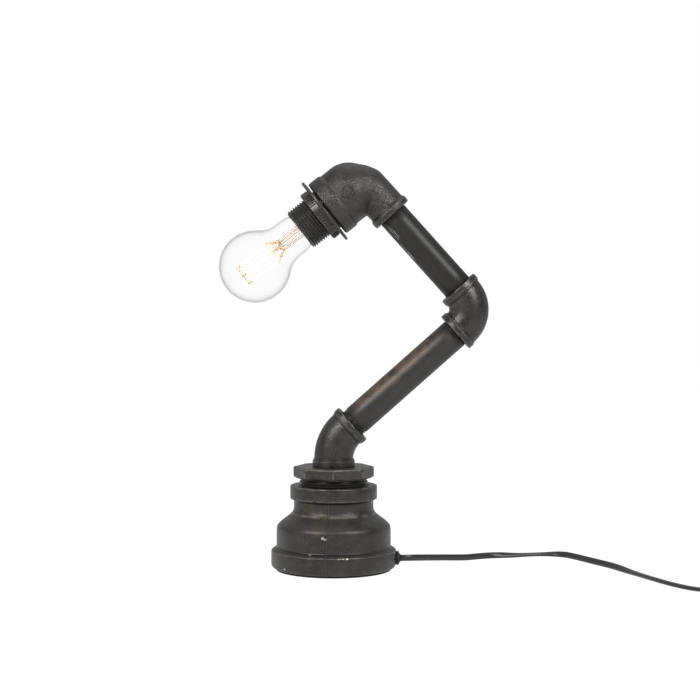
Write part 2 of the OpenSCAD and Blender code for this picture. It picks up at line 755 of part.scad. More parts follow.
// The cord's way over the table, as it lies in the photograph, on to its switch.
lie = cord_t/2 + 0.1;
cord_route = [
  [grommet_face, 0, cord_hole_z], [64, 0.6, 9.6], [72, 4, 9.2], [81, 12, 8], [90, 21, 6.6],
  [101, 30, 5.2], [112, 38, 3.9], [124, 46, 2.8], [137, 53, 2.1], [150, 58, lie],
  [164, 62, lie], [178, 66, lie], [190, 68.5, lie], [201, 68, lie], [211, 61, lie],
  [220, 47, lie], [229, 29, lie], [238, 12, lie], [248, -8, lie], [258, -32, lie],
  [269, -60, lie], [280, -86, lie], [293, -108, lie], [309, -123, 3.2], [325, -130, 6.4],
  [338, -132, 9.5], [354, -132, 9.5], [368, -132, 9.5], [382, -132, 9.5], [398, -132, 9.5],
  [411, -131, 8.6], [423, -125, 6.4], [432, -114, 4.2], [437, -100, 3], [439, -86, 2.8]];

// The coil lies in two layers: in along the lower one, out again on the upper.
coil_centre = [439 - coil_r, -66, 0];
coil_pitch = cord_w + 0.6;
layer_rise = cord_t + 0.6;
coil_z = cord_t/2 + 1.1;
ring_n = 24;
coil_sides = 6;
all_turns = 2*coil_turns;
dip = 2.2;
function ease(x) = let (t = min(max(x, 0), 1)) t*t*(3 - 2*t);
function coil_radius(t) = coil_r - coil_pitch*min(t, all_turns - t)
  - dip*(1 - ease(abs(t - coil_turns)/0.45));
function coil_point(t) = coil_centre + [coil_radius(t)*cos(360*t), coil_radius(t)*sin(360*t),
  coil_z + layer_rise*ease((t - coil_turns + 0.25)/0.5)];
coil_path = [for (i = [0:all_turns*ring_n]) coil_point(i/ring_n)];
coil_in = [coil_centre[0] + coil_r, coil_centre[1] - cord_w, coil_z];
coil_out = [coil_centre[0] + coil_r, coil_centre[1] + cord_w, coil_z + layer_rise];
coil_route = concat([coil_in], coil_path, [coil_out]);
coil_rings = rings(coil_route, coil_sides, true);

// Least distance between rings more than half a turn apart.
coil_gap = min([for (i = [0:len(coil_rings) - 1], j = [i + ring_n/2:len(coil_rings) - 1])
  min([for (p = coil_rings[i], q = coil_rings[j]) norm(p - q)])]);
echo(least_gap_between_coil_turns = coil_gap);

module cord_run() {
  route = concat(cord_route, [coil_in]);
  color(cord_black) tube(rings(route, cable_sides, true), cable_sides);
}

module cord_coil() {
  color(cord_black) tube(coil_rings, coil_sides);
}

tail_route = [coil_out, [438.5, -50, 6.6], [437, -38, 6], [434.5, -27, 5.8], [432, -17, 6.2],
  [430.4, -8, 6.7], [430, 0, 6.85]];
plug_back = [430, 0, plug_t/2];

// Length of the cord from the foot to the plug.
function route_length(p) = len(p) < 2 ? 0 :
  [for (i = 1, total = norm(p[1] - p[0]); i < len(p); i = i + 1,
    total = total + (i < len(p) ? norm(p[i] - p[i - 1]) : 0)) total][len(p) - 2];
echo(cord_length = route_length(concat(cord_route, coil_route, tail_route)));

module cord_tail() {
  color(cord_black) tube(rings(tail_route, cable_sides, true), cable_sides);
}

// A band round the coil, across the side away from the plug.
tie_t = 0.7;
tie_w = 10;

module coil_tie() {
  // radii of the turns at the band, half a turn after the coil's ends
  outer = coil_radius(0.5) + cord_w/2 + 1;
  inner = coil_radius(coil_turns - 0.5) - cord_w/2 - 1;
  low = coil_z - cord_t/2 - 0.2;
  high = coil_z + layer_rise + cord_t/2 + 0.2;
  color([0.15, 0.15, 0.16]) translate([coil_centre[0], coil_centre[1], 0]) difference() {
    translate([-outer - tie_t, -tie_w/2, low - tie_t])
      cube([outer - inner + 2*tie_t, tie_w, high - low + 2*tie_t]);
    translate([-outer, -tie_w, low]) cube([outer - inner, 2*tie_w, high - low]);
  }
}

// ---- Switch on the cord -----------------------------------------------------------------
switch_place = [368, -132, 0];
switch_wall = 2;
switch_end_r = switch_w/2;
rocker_w = 9;
rocker_l = 16;
rocker_tilt = 12;
rocker_axis_z = 2*switch_half - 2.4;
// Thickness of the ears that hold the rocker, and the radius of its pivot.
ear_t = 1.8;
pivot_r = 1.15;
screw_x = switch_l/2 - 9;

// The case in plan, with round ends.
module switch_plan(inset) {
  square([switch_l - 2*switch_end_r, switch_w - 2*inset], center = true);
  for (s = [-1, 1]) translate([s*(switch_l/2 - switch_end_r), 0]) circle(switch_end_r - inset);
}

// The cord's way through the case, along X.
module cord_tunnel() {
  translate([-switch_l, 0, switch_half]) rotate([90, 0, 90])
    linear_extrude(2*switch_l) cord_slot(0.4);
}

module switch_posts(z0, h, hole) {
  for (s = [-1, 1]) translate([s*screw_x, -s*7.2, z0]) difference() {
    cylinder(h = h, r = 2.6);
    translate([0, 0, -1]) cylinder(h = h + 2, r = hole);
  }
}

module switch_base() {
  color(dull_black) translate(switch_place) {
    difference() {
      linear_extrude(switch_half) switch_plan(0);
      translate([0, 0, switch_wall]) linear_extrude(switch_half) switch_plan(switch_wall);
      cord_tunnel();
    }
    difference() {
      switch_posts(switch_wall - 0.2, switch_half - switch_wall + 0.2, 0.9);
      cord_tunnel();
    }
  }
}

module switch_cover() {
  color(dull_black) translate(switch_place) {
    difference() {
      union() {
        translate([0, 0, switch_half]) linear_extrude(switch_half - 1.2) switch_plan(0);
        translate([0, 0, 2*switch_half - 1.2]) linear_extrude(1.2) switch_plan(1.2);
      }
      translate([0, 0, switch_half - 1]) linear_extrude(switch_half - switch_wall + 1) switch_plan(switch_wall);
      cord_tunnel();
      // the room that the rocker's pivot turns in
      translate([0, 0, rocker_axis_z]) rotate([90, 0, 0])
        cylinder(h = rocker_w + 4*clear + 2*ear_t, r = pivot_r + turn_fit, center = true);
      translate([0, 0, switch_half + 2]) translate([-rocker_l/2 - clear, -rocker_w/2 - clear, 0])
        cube([rocker_l + 2*clear, rocker_w + 2*clear, switch_half]);
      for (s = [-1, 1]) translate([s*screw_x, -s*7.2, 0]) {
        cylinder(h = 3*switch_half, r = 1.6);
        translate([0, 0, 2*switch_half - 1.6]) cylinder(h = 3, r = 2.9);
      }
    }
    difference() {
      switch_posts(switch_half, switch_half - switch_wall + 0.2, 1.6);
      cord_tunnel();
    }
    // ears that hold the rocker's pivot
    for (s = [-1, 1]) translate([0, s*(rocker_w/2 + clear + ear_t/2), 0]) difference() {
      translate([-2.6, -ear_t/2, rocker_axis_z - 2.6])
        cube([5.2, ear_t, 2*switch_half - switch_wall - rocker_axis_z + 2.8]);
      translate([0, 0, rocker_axis_z]) rotate([90, 0, 0])
        cylinder(h = 6, r = pivot_r + turn_fit, center = true);
    }
  }
}

module switch_rocker() {
  crown = 26;
  color([0.55, 0.1, 0.08]) translate(switch_place + [0, 0, rocker_axis_z]) {
    difference() {
      intersection() {
        translate([0, rocker_w/2, 0]) rotate([90, 0, 0]) cylinder(h = rocker_w, r = rocker_l/2 - 0.1);
        translate([-rocker_l/2, -rocker_w/2, -3]) cube([rocker_l, rocker_w, 6.4]);
      }
      // the dished top
      translate([0, 0, crown + 2.4]) rotate([90, 0, 0]) cylinder(h = 2*rocker_w, r = crown, center = true);
    }
    rotate([90, 0, 0]) cylinder(h = rocker_w + 2*clear + 2*ear_t, r = pivot_r, center = true);
  }
}

module switch_contacts() {
  color(brass) translate(switch_place) for (s = [-1, 1])
    translate([s*11 - 3, 6.2, switch_wall]) {
      cube([6, 0.6, 5]);
      translate([0, -1.6, 0]) cube([6, 2.2, 0.6]);
    }
}

module switch_screws() {
  color(nickel) translate(switch_place) for (s = [-1, 1]) translate([s*screw_x, -s*7.2, 0]) {
    translate([0, 0, 3]) cylinder(h = 2*switch_half - 4.6, r = 0.85);
    translate([0, 0, 2*switch_half - 1.6]) cylinder(h = 1.4, r = 2.6);
  }
}

// ---- Plug ---------------------------------------------------------------------------------
// A flat two-pin plug lies on the table; its pins point along +Y.
neck_l = 20;
plug_face = [plug_back[0], plug_back[1] + neck_l + plug_l, 0];
pin_r = 2;

module plug_outline() {
  polygon([
    [0, -plug_w/2 + 1.5], [1.5, -plug_w/2], [plug_l*0.6, -plug_w/2], [plug_l, -6.5],
    [plug_l, 6.5], [plug_l*0.6, plug_w/2], [1.5, plug_w/2], [0, plug_w/2 - 1.5]]);
}

module plug_body() {
  color(dull_black) translate(plug_face) rotate(-90) difference() {
    union() {
      translate([0, 0, 1.2]) linear_extrude(plug_t - 2.4) plug_outline();
      translate([0.6, 0, 0]) linear_extrude(plug_t) scale(0.93) plug_outline();
      // the tapered sleeve that carries the cord
      translate([plug_l - 0.5, 0, plug_t/2]) rotate([0, 90, 0])
        cylinder(h = neck_l + 0.5, r1 = 5.6, r2 = 3.8);
    }
    for (s = [-1, 1]) translate([-1, s*pin_gap/2, plug_t/2]) rotate([0, 90, 0])
      cylinder(h = 13, r = pin_r);
  }
}

module plug_pins() {
  color(nickel) translate(plug_face + [0, 0, plug_t/2]) rotate(-90)
    for (s = [-1, 1]) translate([0, s*pin_gap/2, 0]) rotate([0, 90, 0])
      rotate_extrude() polygon([
        [0, 12], [pin_r - seat_fit, 12], [pin_r - seat_fit, -pin_l + 1], [pin_r - 1, -pin_l], [0, -pin_l]]);
}

base_pad();
base_reducer();
base_bushing();
close_nipple();
cord_grommet();
cable_tie();
cable_in_base();
elbow_45();
cable_in_elbow();
lower_pipe();
elbow_90();
upper_pipe();
cable_in_arm();
reducing_elbow();
cable_in_head();
holder_cap();
holder_sleeve();
holder_insulator();
screw_shell();
centre_contact();
side_contact();
terminal_screws();
shade_ring();
bulb_cap();
cap_insulator();
cap_contact();
bulb_glass();
bulb_stem();
filament_wires();
filaments();
cord_run();
cord_coil();
cord_tail();
coil_tie();
switch_base();
switch_cover();
switch_rocker();
switch_contacts();
switch_screws();
plug_body();
plug_pins();
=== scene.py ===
# Industrial pipe table lamp, dressed for the camera. The pieces' sizes are written in
# millimetres, which MM turns into metres. The room, its lamps, the camera's distance
# and the grain of the finishes are in metres.
from functools import reduce
from math import atan2, cos, pi, radians, sin, sqrt, tan

import bpy
from mathutils import Matrix, Vector


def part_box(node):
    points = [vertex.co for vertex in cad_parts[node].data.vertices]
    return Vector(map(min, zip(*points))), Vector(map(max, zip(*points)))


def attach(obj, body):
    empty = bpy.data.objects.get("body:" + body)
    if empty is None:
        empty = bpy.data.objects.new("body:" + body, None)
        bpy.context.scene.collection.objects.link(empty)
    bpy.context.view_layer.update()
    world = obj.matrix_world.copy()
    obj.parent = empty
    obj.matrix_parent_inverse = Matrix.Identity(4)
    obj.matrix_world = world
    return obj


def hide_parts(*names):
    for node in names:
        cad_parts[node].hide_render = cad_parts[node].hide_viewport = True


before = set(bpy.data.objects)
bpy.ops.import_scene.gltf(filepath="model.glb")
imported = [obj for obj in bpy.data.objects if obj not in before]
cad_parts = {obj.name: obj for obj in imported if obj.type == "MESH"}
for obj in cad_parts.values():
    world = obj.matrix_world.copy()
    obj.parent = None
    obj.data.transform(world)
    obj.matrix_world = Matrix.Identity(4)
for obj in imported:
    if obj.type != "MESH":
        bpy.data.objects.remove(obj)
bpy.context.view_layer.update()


# ---- Camera ----
# The photograph was taken with a short telephoto from just above the lamp's
# middle, square to the plane of its arm, about a metre and a half away.
MM = 0.001
photo_width = 700
view_distance = 1.5
view_pitch = radians(2.2)
pixels_per_metre = 1140
look_at = Vector((14.37 * MM, 0, 192.93 * MM))
bpy.ops.object.camera_add(rotation=(pi / 2 - view_pitch, 0, 0))
camera = bpy.context.object
camera.location = look_at - view_distance * Vector((0, cos(view_pitch), -sin(view_pitch)))
camera.data.sensor_width = 36
camera.data.lens = 36 * pixels_per_metre * view_distance / photo_width
camera.data.clip_end = 30
bpy.context.scene.camera = camera


# ---- Room ----
# A white sweep in a studio: a key lamp above on the right, a weaker warm one on the
# left and a wide one overhead. The room behind the camera is dim, so gloss has shape.


# One socket of a finish. Each sum on it adds the Math node that does it.
class Val:
    def __init__(self, mat, socket):
        self.mat = mat
        self.socket = socket

    def _math(self, operation, a, b=0, clamp=False):
        return self.mat.node("ShaderNodeMath", {"operation": operation, "use_clamp": clamp}, [a, b])

    def __add__(self, other):
        return self._math("ADD", self, other)

    def __sub__(self, other):
        return self._math("SUBTRACT", self, other)

    def __rsub__(self, other):
        return self._math("SUBTRACT", other, self)

    def __mul__(self, other):
        return self._math("MULTIPLY", self, other)

    __radd__ = __add__
    __rmul__ = __mul__

    def power(self, other):
        return self._math("POWER", self, other)

    def most(self, other):
        return self._math("MAXIMUM", self, other)

    def size(self):
        return self._math("ABSOLUTE", self)

    def clamped(self):
        return self._math("ADD", self, clamp=True)

    # 0 below low, 1 above high, smooth between
    def step(self, low, high):
        return self.mat.node(
            "ShaderNodeMapRange", {"interpolation_type": "SMOOTHSTEP"}, [self, low, high, 0, 1])


class Painter:
    def __init__(self, data):
        self.data = data
        self.data.use_nodes = True
        self.tree = self.data.node_tree

    # Adds a node: its type, its settings, its inputs in order or by name, and the output wanted.
    def node(self, kind, settings, values, out=0):
        made = self.tree.nodes.new(kind)
        for key, value in settings.items():
            setattr(made, key, value)
        for key, value in values.items() if isinstance(values, dict) else enumerate(values):
            self.feed(made.inputs[key], value)
        return Val(self, made.outputs[out])

    def feed(self, socket, value):
        if isinstance(value, Val):
            self.tree.links.new(value.socket, socket)
        elif socket.type == "RGBA" and not isinstance(value, (int, float)):
            socket.default_value = (*value[:3], 1)
        else:
            socket.default_value = value

    # The three coordinates of a vector.
    def axes(self, vector):
        split = self.node("ShaderNodeSeparateXYZ", {}, [vector])
        return [Val(self, part) for part in split.socket.node.outputs]

    def ray(self, kind):
        return self.node("ShaderNodeLightPath", {}, [], "Is " + kind + " Ray")


class Finish(Painter):
    def __init__(self, name):
        super().__init__(bpy.data.materials.new(name))
        self.shader = self.tree.nodes["Principled BSDF"]
        self.place = self.node("ShaderNodeTexCoord", {}, [], "Object")

    def set(self, **sockets):
        for key, value in sockets.items():
            self.feed(self.shader.inputs[key.replace("_", " ")], value)
        return self

    # The object's coordinates, turned so that Z runs along a lean in the arm's plane.
    def leaned(self, lean):
        return self.node("ShaderNodeMapping", {}, {"Vector": self.place, "Rotation": (0, -lean, 0)})

    def vector(self, operation, *values, out=0):
        return self.node("ShaderNodeVectorMath", {"operation": operation}, values, out)

    # 1 within so many millimetres of a point given in millimetres, soft at its edge.
    def near(self, point, radius, soft=0.3, squash=(1, 1, 1), vector=None):
        off = self.vector("SUBTRACT", vector or self.place, [c * MM for c in point])
        away = self.vector("LENGTH", self.vector("MULTIPLY", off, squash), out="Value")
        return 1 - away.step(radius * (1 - soft) * MM, radius * (1 + soft) * MM)

    # The strongest of several masks.
    def any_of(self, masks):
        return reduce(Val.most, masks)

    # Noise whose features are about this many metres across.
    def noise(self, feature, detail=3, rough=0.55, stretch=(1, 1, 1), vector=None):
        scaled = self.node("ShaderNodeMapping", {}, {"Vector": vector or self.place, "Scale": stretch})
        return self.node("ShaderNodeTexNoise", {}, {
            "Vector": scaled, "Scale": 1 / feature, "Detail": detail, "Roughness": rough})

    def mix(self, amount, a, b):
        return self.node("ShaderNodeMix", {"data_type": "RGBA"}, {0: amount, 6: a, 7: b}, 2)

    def bump(self, height, distance):
        return self.node("ShaderNodeBump", {}, {"Height": height, "Distance": distance})


room_fill = 0.22
dim_side = 0.05
bright_side = 0.42
world = bpy.data.worlds.new("white_room")
bpy.context.scene.world = world
room = Painter(world)
behind = room.axes(room.node("ShaderNodeTexCoord", {}, [], "Generated"))[1].step(-0.5, 0.6)
gloss = room.ray("Glossy")
gloss_level = gloss * (dim_side + behind * bright_side)
seen_level = room.ray("Camera").most(room.ray("Transmission"))
background = room.tree.nodes["Background"]
room.feed(background.inputs["Strength"], seen_level.most(gloss_level).most((1 - gloss) * room_fill))
background.inputs["Color"].default_value = (1, 1, 1, 1)


def soft_lamp(name, place, aim, size, power, colour=(1, 1, 1)):
    turn = (Vector(aim) - Vector(place)).to_track_quat("-Z", "Y").to_euler()
    bpy.ops.object.light_add(type="AREA", location=place, rotation=turn)
    lamp = bpy.context.object
    lamp.name = name
    lamp.data.size = size
    lamp.data.energy = power
    lamp.data.color = colour


lamp_aim = (0.02, 0, 0.2)
soft_lamp("key_light", (0.76, -0.83, 0.86), lamp_aim, 0.42, 13)
soft_lamp("warm_light", (-0.76, -0.83, 0.85), lamp_aim, 0.45, 14, (1, 0.94, 0.87))
soft_lamp("top_light", (0.1, 0.3, 1.6), lamp_aim, 1.2, 4)

bpy.ops.mesh.primitive_plane_add(size=12)
floor_sheet = bpy.context.object
floor_sheet.name = "floor_sheet"
white_sheet = Finish("white_sheet")
white_sheet.set(Base_Color=(0.86, 0.86, 0.86), Roughness=0.9)
glow_strength = 1.1
glow = white_sheet.node("ShaderNodeEmission", {}, {"Strength": glow_strength})
shown = white_sheet.ray("Camera").most(white_sheet.ray("Glossy") * 0.3).most(white_sheet.ray("Transmission"))
matt = Val(white_sheet, white_sheet.shader.outputs[0])
seen = white_sheet.node("ShaderNodeMixShader", {}, [shown * 0.9, matt, glow])
white_sheet.feed(white_sheet.tree.nodes["Material Output"].inputs[0], seen)
floor_sheet.data.materials.append(white_sheet.data)
floor_sheet.location.z = -0.0002
bpy.ops.object.transform_apply()


# ---- Cord ----
# Flat twin flex: two insulated cores side by side in one black PVC sheath. It
# leaves the foot, lies over the table with one lazy twist, runs through its
# switch and is wound up in two layers, out of sight, before the plug.
cord_width = 5.6 * MM
cord_thick = 3.4 * MM
grommet_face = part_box("cord_grommet")[1].x
hole_height = 9.6
lie = 1.8
cord_points = [
    (64, 0.6, 9.6), (72, 4, 9.2), (81, 12, 8), (90, 21, 6.6), (101, 30, 5.2),
    (112, 38, 3.9), (124, 46, 2.8), (137, 53, 2.1), (150, 58, lie), (164, 62, lie),
    (178, 66, lie), (190, 68.5, lie), (201, 68, lie), (211, 61, lie), (220, 47, lie),
    (229, 29, lie), (238, 12, lie), (248, -8, lie), (258, -32, lie), (269, -60, lie),
    (280, -86, lie), (293, -108, lie), (309, -123, 3.2), (325, -130, 6.4),
    (338, -132, 9.5), (354, -132, 9.5), (368, -132, 9.5), (382, -132, 9.5),
    (398, -132, 9.5), (411, -131, 8.6), (423, -125, 6.4), (432, -114, 4.2),
    (437, -100, 3), (439, -86, 2.8)]
tail_points = [
    (438.5, -50, 6.6), (437, -38, 6), (434.5, -27, 5.8), (432, -17, 6.2),
    (430.4, -8, 6.7), (430, 0, 6.85)]

coil_radius = 40.5
coil_turns = 3
coil_pitch = 6.2
coil_rise = 4
coil_low = 2.8
coil_centre = (439 - coil_radius, -66)
points_a_turn = 24


def ease(x):
    x = min(max(x, 0), 1)
    return x * x * (3 - 2 * x)


# Where the cord is after so many turns: in along the lower layer, out on the upper.
def coil_point(turn):
    step_in = 2.2 * (1 - ease(abs(turn - coil_turns) / 0.45))
    radius = coil_radius - coil_pitch * min(turn, 2 * coil_turns - turn) - step_in
    angle = 2 * pi * turn
    height = coil_low + coil_rise * ease((turn - coil_turns + 0.25) / 0.5)
    return (coil_centre[0] + radius * cos(angle), coil_centre[1] + radius * sin(angle), height)


coil = [coil_point(i / points_a_turn) for i in range(2 * coil_turns * points_a_turn + 1)]
route = [Vector(p) * MM for p in [(grommet_face / MM, 0, hole_height)] + cord_points + coil + tail_points]


# A smooth line through the points, with this many steps between each two.
def smooth_line(points, steps):
    line = []
    for i in range(len(points) - 1):
        a = points[max(i - 1, 0)]
        b, c = points[i], points[i + 1]
        d = points[min(i + 2, len(points) - 1)]
        for s in range(steps):
            t = s / steps
            line.append(0.5 * (2 * b + (c - a) * t + (2 * a - 5 * b + 4 * c - d) * t * t
                               + (3 * b - a - 3 * c + d) * t ** 3))
    return line + [points[-1]]


# The outline across the cord: two round cores with a shallow groove between.
def cord_outline(count=20):
    outline = []
    for i in range(count):
        x = cos(2 * pi * (i + 0.5) / count)
        y = sin(2 * pi * (i + 0.5) / count)
        flat = abs(x) ** 0.7 * (1 if x > 0 else -1)
        dip = 0.16 * (1 - min(abs(flat) / 0.42, 1)) ** 2
        high = abs(y) ** 0.8 * (1 - dip) * (1 if y > 0 else -1)
        outline.append((cord_width / 2 * flat, cord_thick / 2 * high))
    return outline


# The flat cord leaves the foot on edge, turns over to lie flat, stands up on edge once
# more through its sideways bend, as flat flex does, and is flat again at the switch.
def cord_roll(distance):
    through_bend = ease((distance - 0.148) / 0.035) * (1 - ease((distance - 0.235) / 0.06))
    return 0.25 * (1 - ease((distance - 0.088) / 0.055)) + 0.2 * through_bend


# Half the cord's height when it is rolled by so many turns.
def half_height(roll):
    turn = 2 * pi * roll
    return sqrt((cord_width / 2 * sin(turn)) ** 2 + (cord_thick / 2 * cos(turn)) ** 2)


table_gap = 0.25 * MM


# A line with no point so low that the rolled cord would sink into the table.
def kept_up(points, roll):
    along = 0
    raised = []
    for i, p in enumerate(points):
        if i:
            along += (p - points[i - 1]).length
        raised.append(Vector((p.x, p.y, max(p.z, half_height(roll(along)) + table_gap))))
    return raised


# The cord's skin along a line, rolled by so many turns at each distance along it.
def cord_mesh(name, line, outline, roll, in_pipe=False):
    corners, faces = [], []
    along = 0
    count = len(outline)
    for i, p in enumerate(line):
        ahead = (line[min(i + 1, len(line) - 1)] - line[max(i - 1, 0)]).normalized()
        if i:
            along += (p - line[i - 1]).length
        across = Vector((0, 1, 0)) if in_pipe else Vector((0, 0, 1)).cross(ahead).normalized()
        up = ahead.cross(across)
        turn = 2 * pi * roll(along)
        side = across * cos(turn) + up * sin(turn)
        top = up * cos(turn) - across * sin(turn)
        corners += [p + side * x + top * y for x, y in outline]
        if i:
            for j in range(count):
                k = (j + 1) % count
                back = (i - 1) * count
                faces.append((back + j, back + k, i * count + k, i * count + j))
    faces.append(tuple(range(count - 1, -1, -1)))
    faces.append(tuple(range(len(corners) - count, len(corners))))
    mesh = bpy.data.meshes.new(name)
    mesh.from_pydata(corners, [], faces)
    mesh.polygons.foreach_set("use_smooth", [True] * len(faces))
    piece = bpy.data.objects.new(name, mesh)
    bpy.context.collection.objects.link(piece)
    return piece


# A finish of two close tones in clouds that change its gloss too. rough is (least,
# change), and grain is a noise and its height, or the height alone for the clouds'.
def clouded(name, clouds, dark, light, rough, grain=None, **more):
    finish = Finish(name)
    cloud = finish.noise(*clouds)
    if grain:
        *fine, height = grain
        more["Normal"] = finish.bump(finish.noise(*fine) if fine else cloud, height)
    tone = finish.mix(cloud, dark, light)
    return finish.set(Base_Color=tone, Roughness=rough[0] + cloud * rough[1], **more)


def deselect():
    if bpy.context.object and bpy.context.object.mode != "OBJECT":
        bpy.ops.object.mode_set(mode="OBJECT")
    bpy.ops.object.select_all(action="DESELECT")


def dress(piece, body, slot, material, *nodes):
    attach(piece, body)
    if nodes:
        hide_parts(*nodes)
    piece.data.materials.clear()
    piece.data.materials.append(material.data)
    deselect()


black_pvc = clouded("black_cord_pvc", (0.004, 4), (0.016, 0.016, 0.017), (0.024, 0.024, 0.025),
                    (0.25, 0.12), (0.0012, 2, 0.00006))
line = kept_up(smooth_line(route, 3), cord_roll)
cord_piece = cord_mesh("flat_twin_cord", line, cord_outline(), cord_roll)
dress(cord_piece, "base", "cord_pvc", black_pvc, "cord_run", "cord_coil", "cord_tail")


# ---- Foot casting ----
# A reducing pipe coupling in black malleable iron, stood on its wide end: a round
# band, a straight body, a waist, and an upper band round the threaded mouth.
def select_only(piece):
    deselect()
    piece.select_set(True)
    bpy.context.view_layer.objects.active = piece


# Direction in the arm's plane, by its angle from vertical to the right.
def way(lean):
    return Vector((sin(lean), 0, cos(lean)))


pole = 1e-7
same = 1e-9
one_point = 1e-6


# A piece drawn as rings, each one (centre, lean, radius), where a radius of 0 closes
# a pole. A circle is added at the widest ring between two poles, then extruded,
# turned and resized from ring to ring, first onwards and then back.
def drawn(name, rings, sides=96):
    piece = bpy.data.objects.new(name, bpy.data.meshes.new(name))
    bpy.context.collection.objects.link(piece)
    select_only(piece)
    bpy.ops.object.mode_set(mode="EDIT")
    runs = [[]]
    for ring in rings:
        runs[-1].append(ring)
        if ring[2] < pole and len(runs[-1]) > 1:
            runs.append([])
    for run in runs:
        widest = max(range(len(run)), key=lambda i: run[i][2], default=0)
        for part in (run[widest:], run[widest::-1]):
            if len(part) < 2:
                continue
            centre, lean, radius = part[0]
            bpy.ops.mesh.primitive_circle_add(
                vertices=sides, radius=radius, location=centre, rotation=(0, lean, 0))
            for place, tilt, size in part[1:]:
                bpy.ops.mesh.extrude_edges_move(TRANSFORM_OT_translate={"value": place - centre})
                if abs(tilt - lean) > same:
                    bpy.ops.transform.rotate(value=lean - tilt, orient_axis="Y", center_override=place)
                if abs(size - radius) > same:
                    bpy.ops.transform.resize(value=[size / radius] * 3, center_override=place)
                centre, lean, radius = place, tilt, size
    bpy.ops.mesh.select_all(action="SELECT")
    bpy.ops.mesh.remove_doubles(threshold=one_point)
    bpy.ops.mesh.normals_make_consistent(inside=False)
    bpy.ops.object.mode_set(mode="OBJECT")
    bpy.ops.object.shade_smooth_by_angle(angle=radians(38))
    return piece


# Rings of a turned piece: radius and height pairs along a leaning axis.
def turned(outline, base=Vector((0, 0, 0)), lean=0.0):
    return [((base + way(lean) * z) * MM, lean, r * MM) for r, z in outline]


# A rounded corner in an outline: centre, radius, first and last angle in degrees.
def corner(r, z, size, first, last, count=5):
    turns = [radians(first + (last - first) * i / count) for i in range(count + 1)]
    return [(r + size * cos(a), z + size * sin(a)) for a in turns]


# A smooth S from one outline point to another, upright at both ends.
def waist(r0, z0, r1, z1, count=14):
    return [(r0 + (r1 - r0) * ease(i / count), z0 + (z1 - z0) * i / count) for i in range(count + 1)]


def modifier(piece, kind, **settings):
    select_only(piece)
    made = piece.modifiers.new(kind.lower(), kind)
    for key, value in settings.items():
        setattr(made, key, value)
    bpy.ops.object.modifier_apply(modifier=made.name)


def cut_out(piece, other, operation="DIFFERENCE"):
    modifier(piece, "BOOLEAN", object=other, operation=operation, solver="EXACT")
    bpy.data.objects.remove(other)
    deselect()


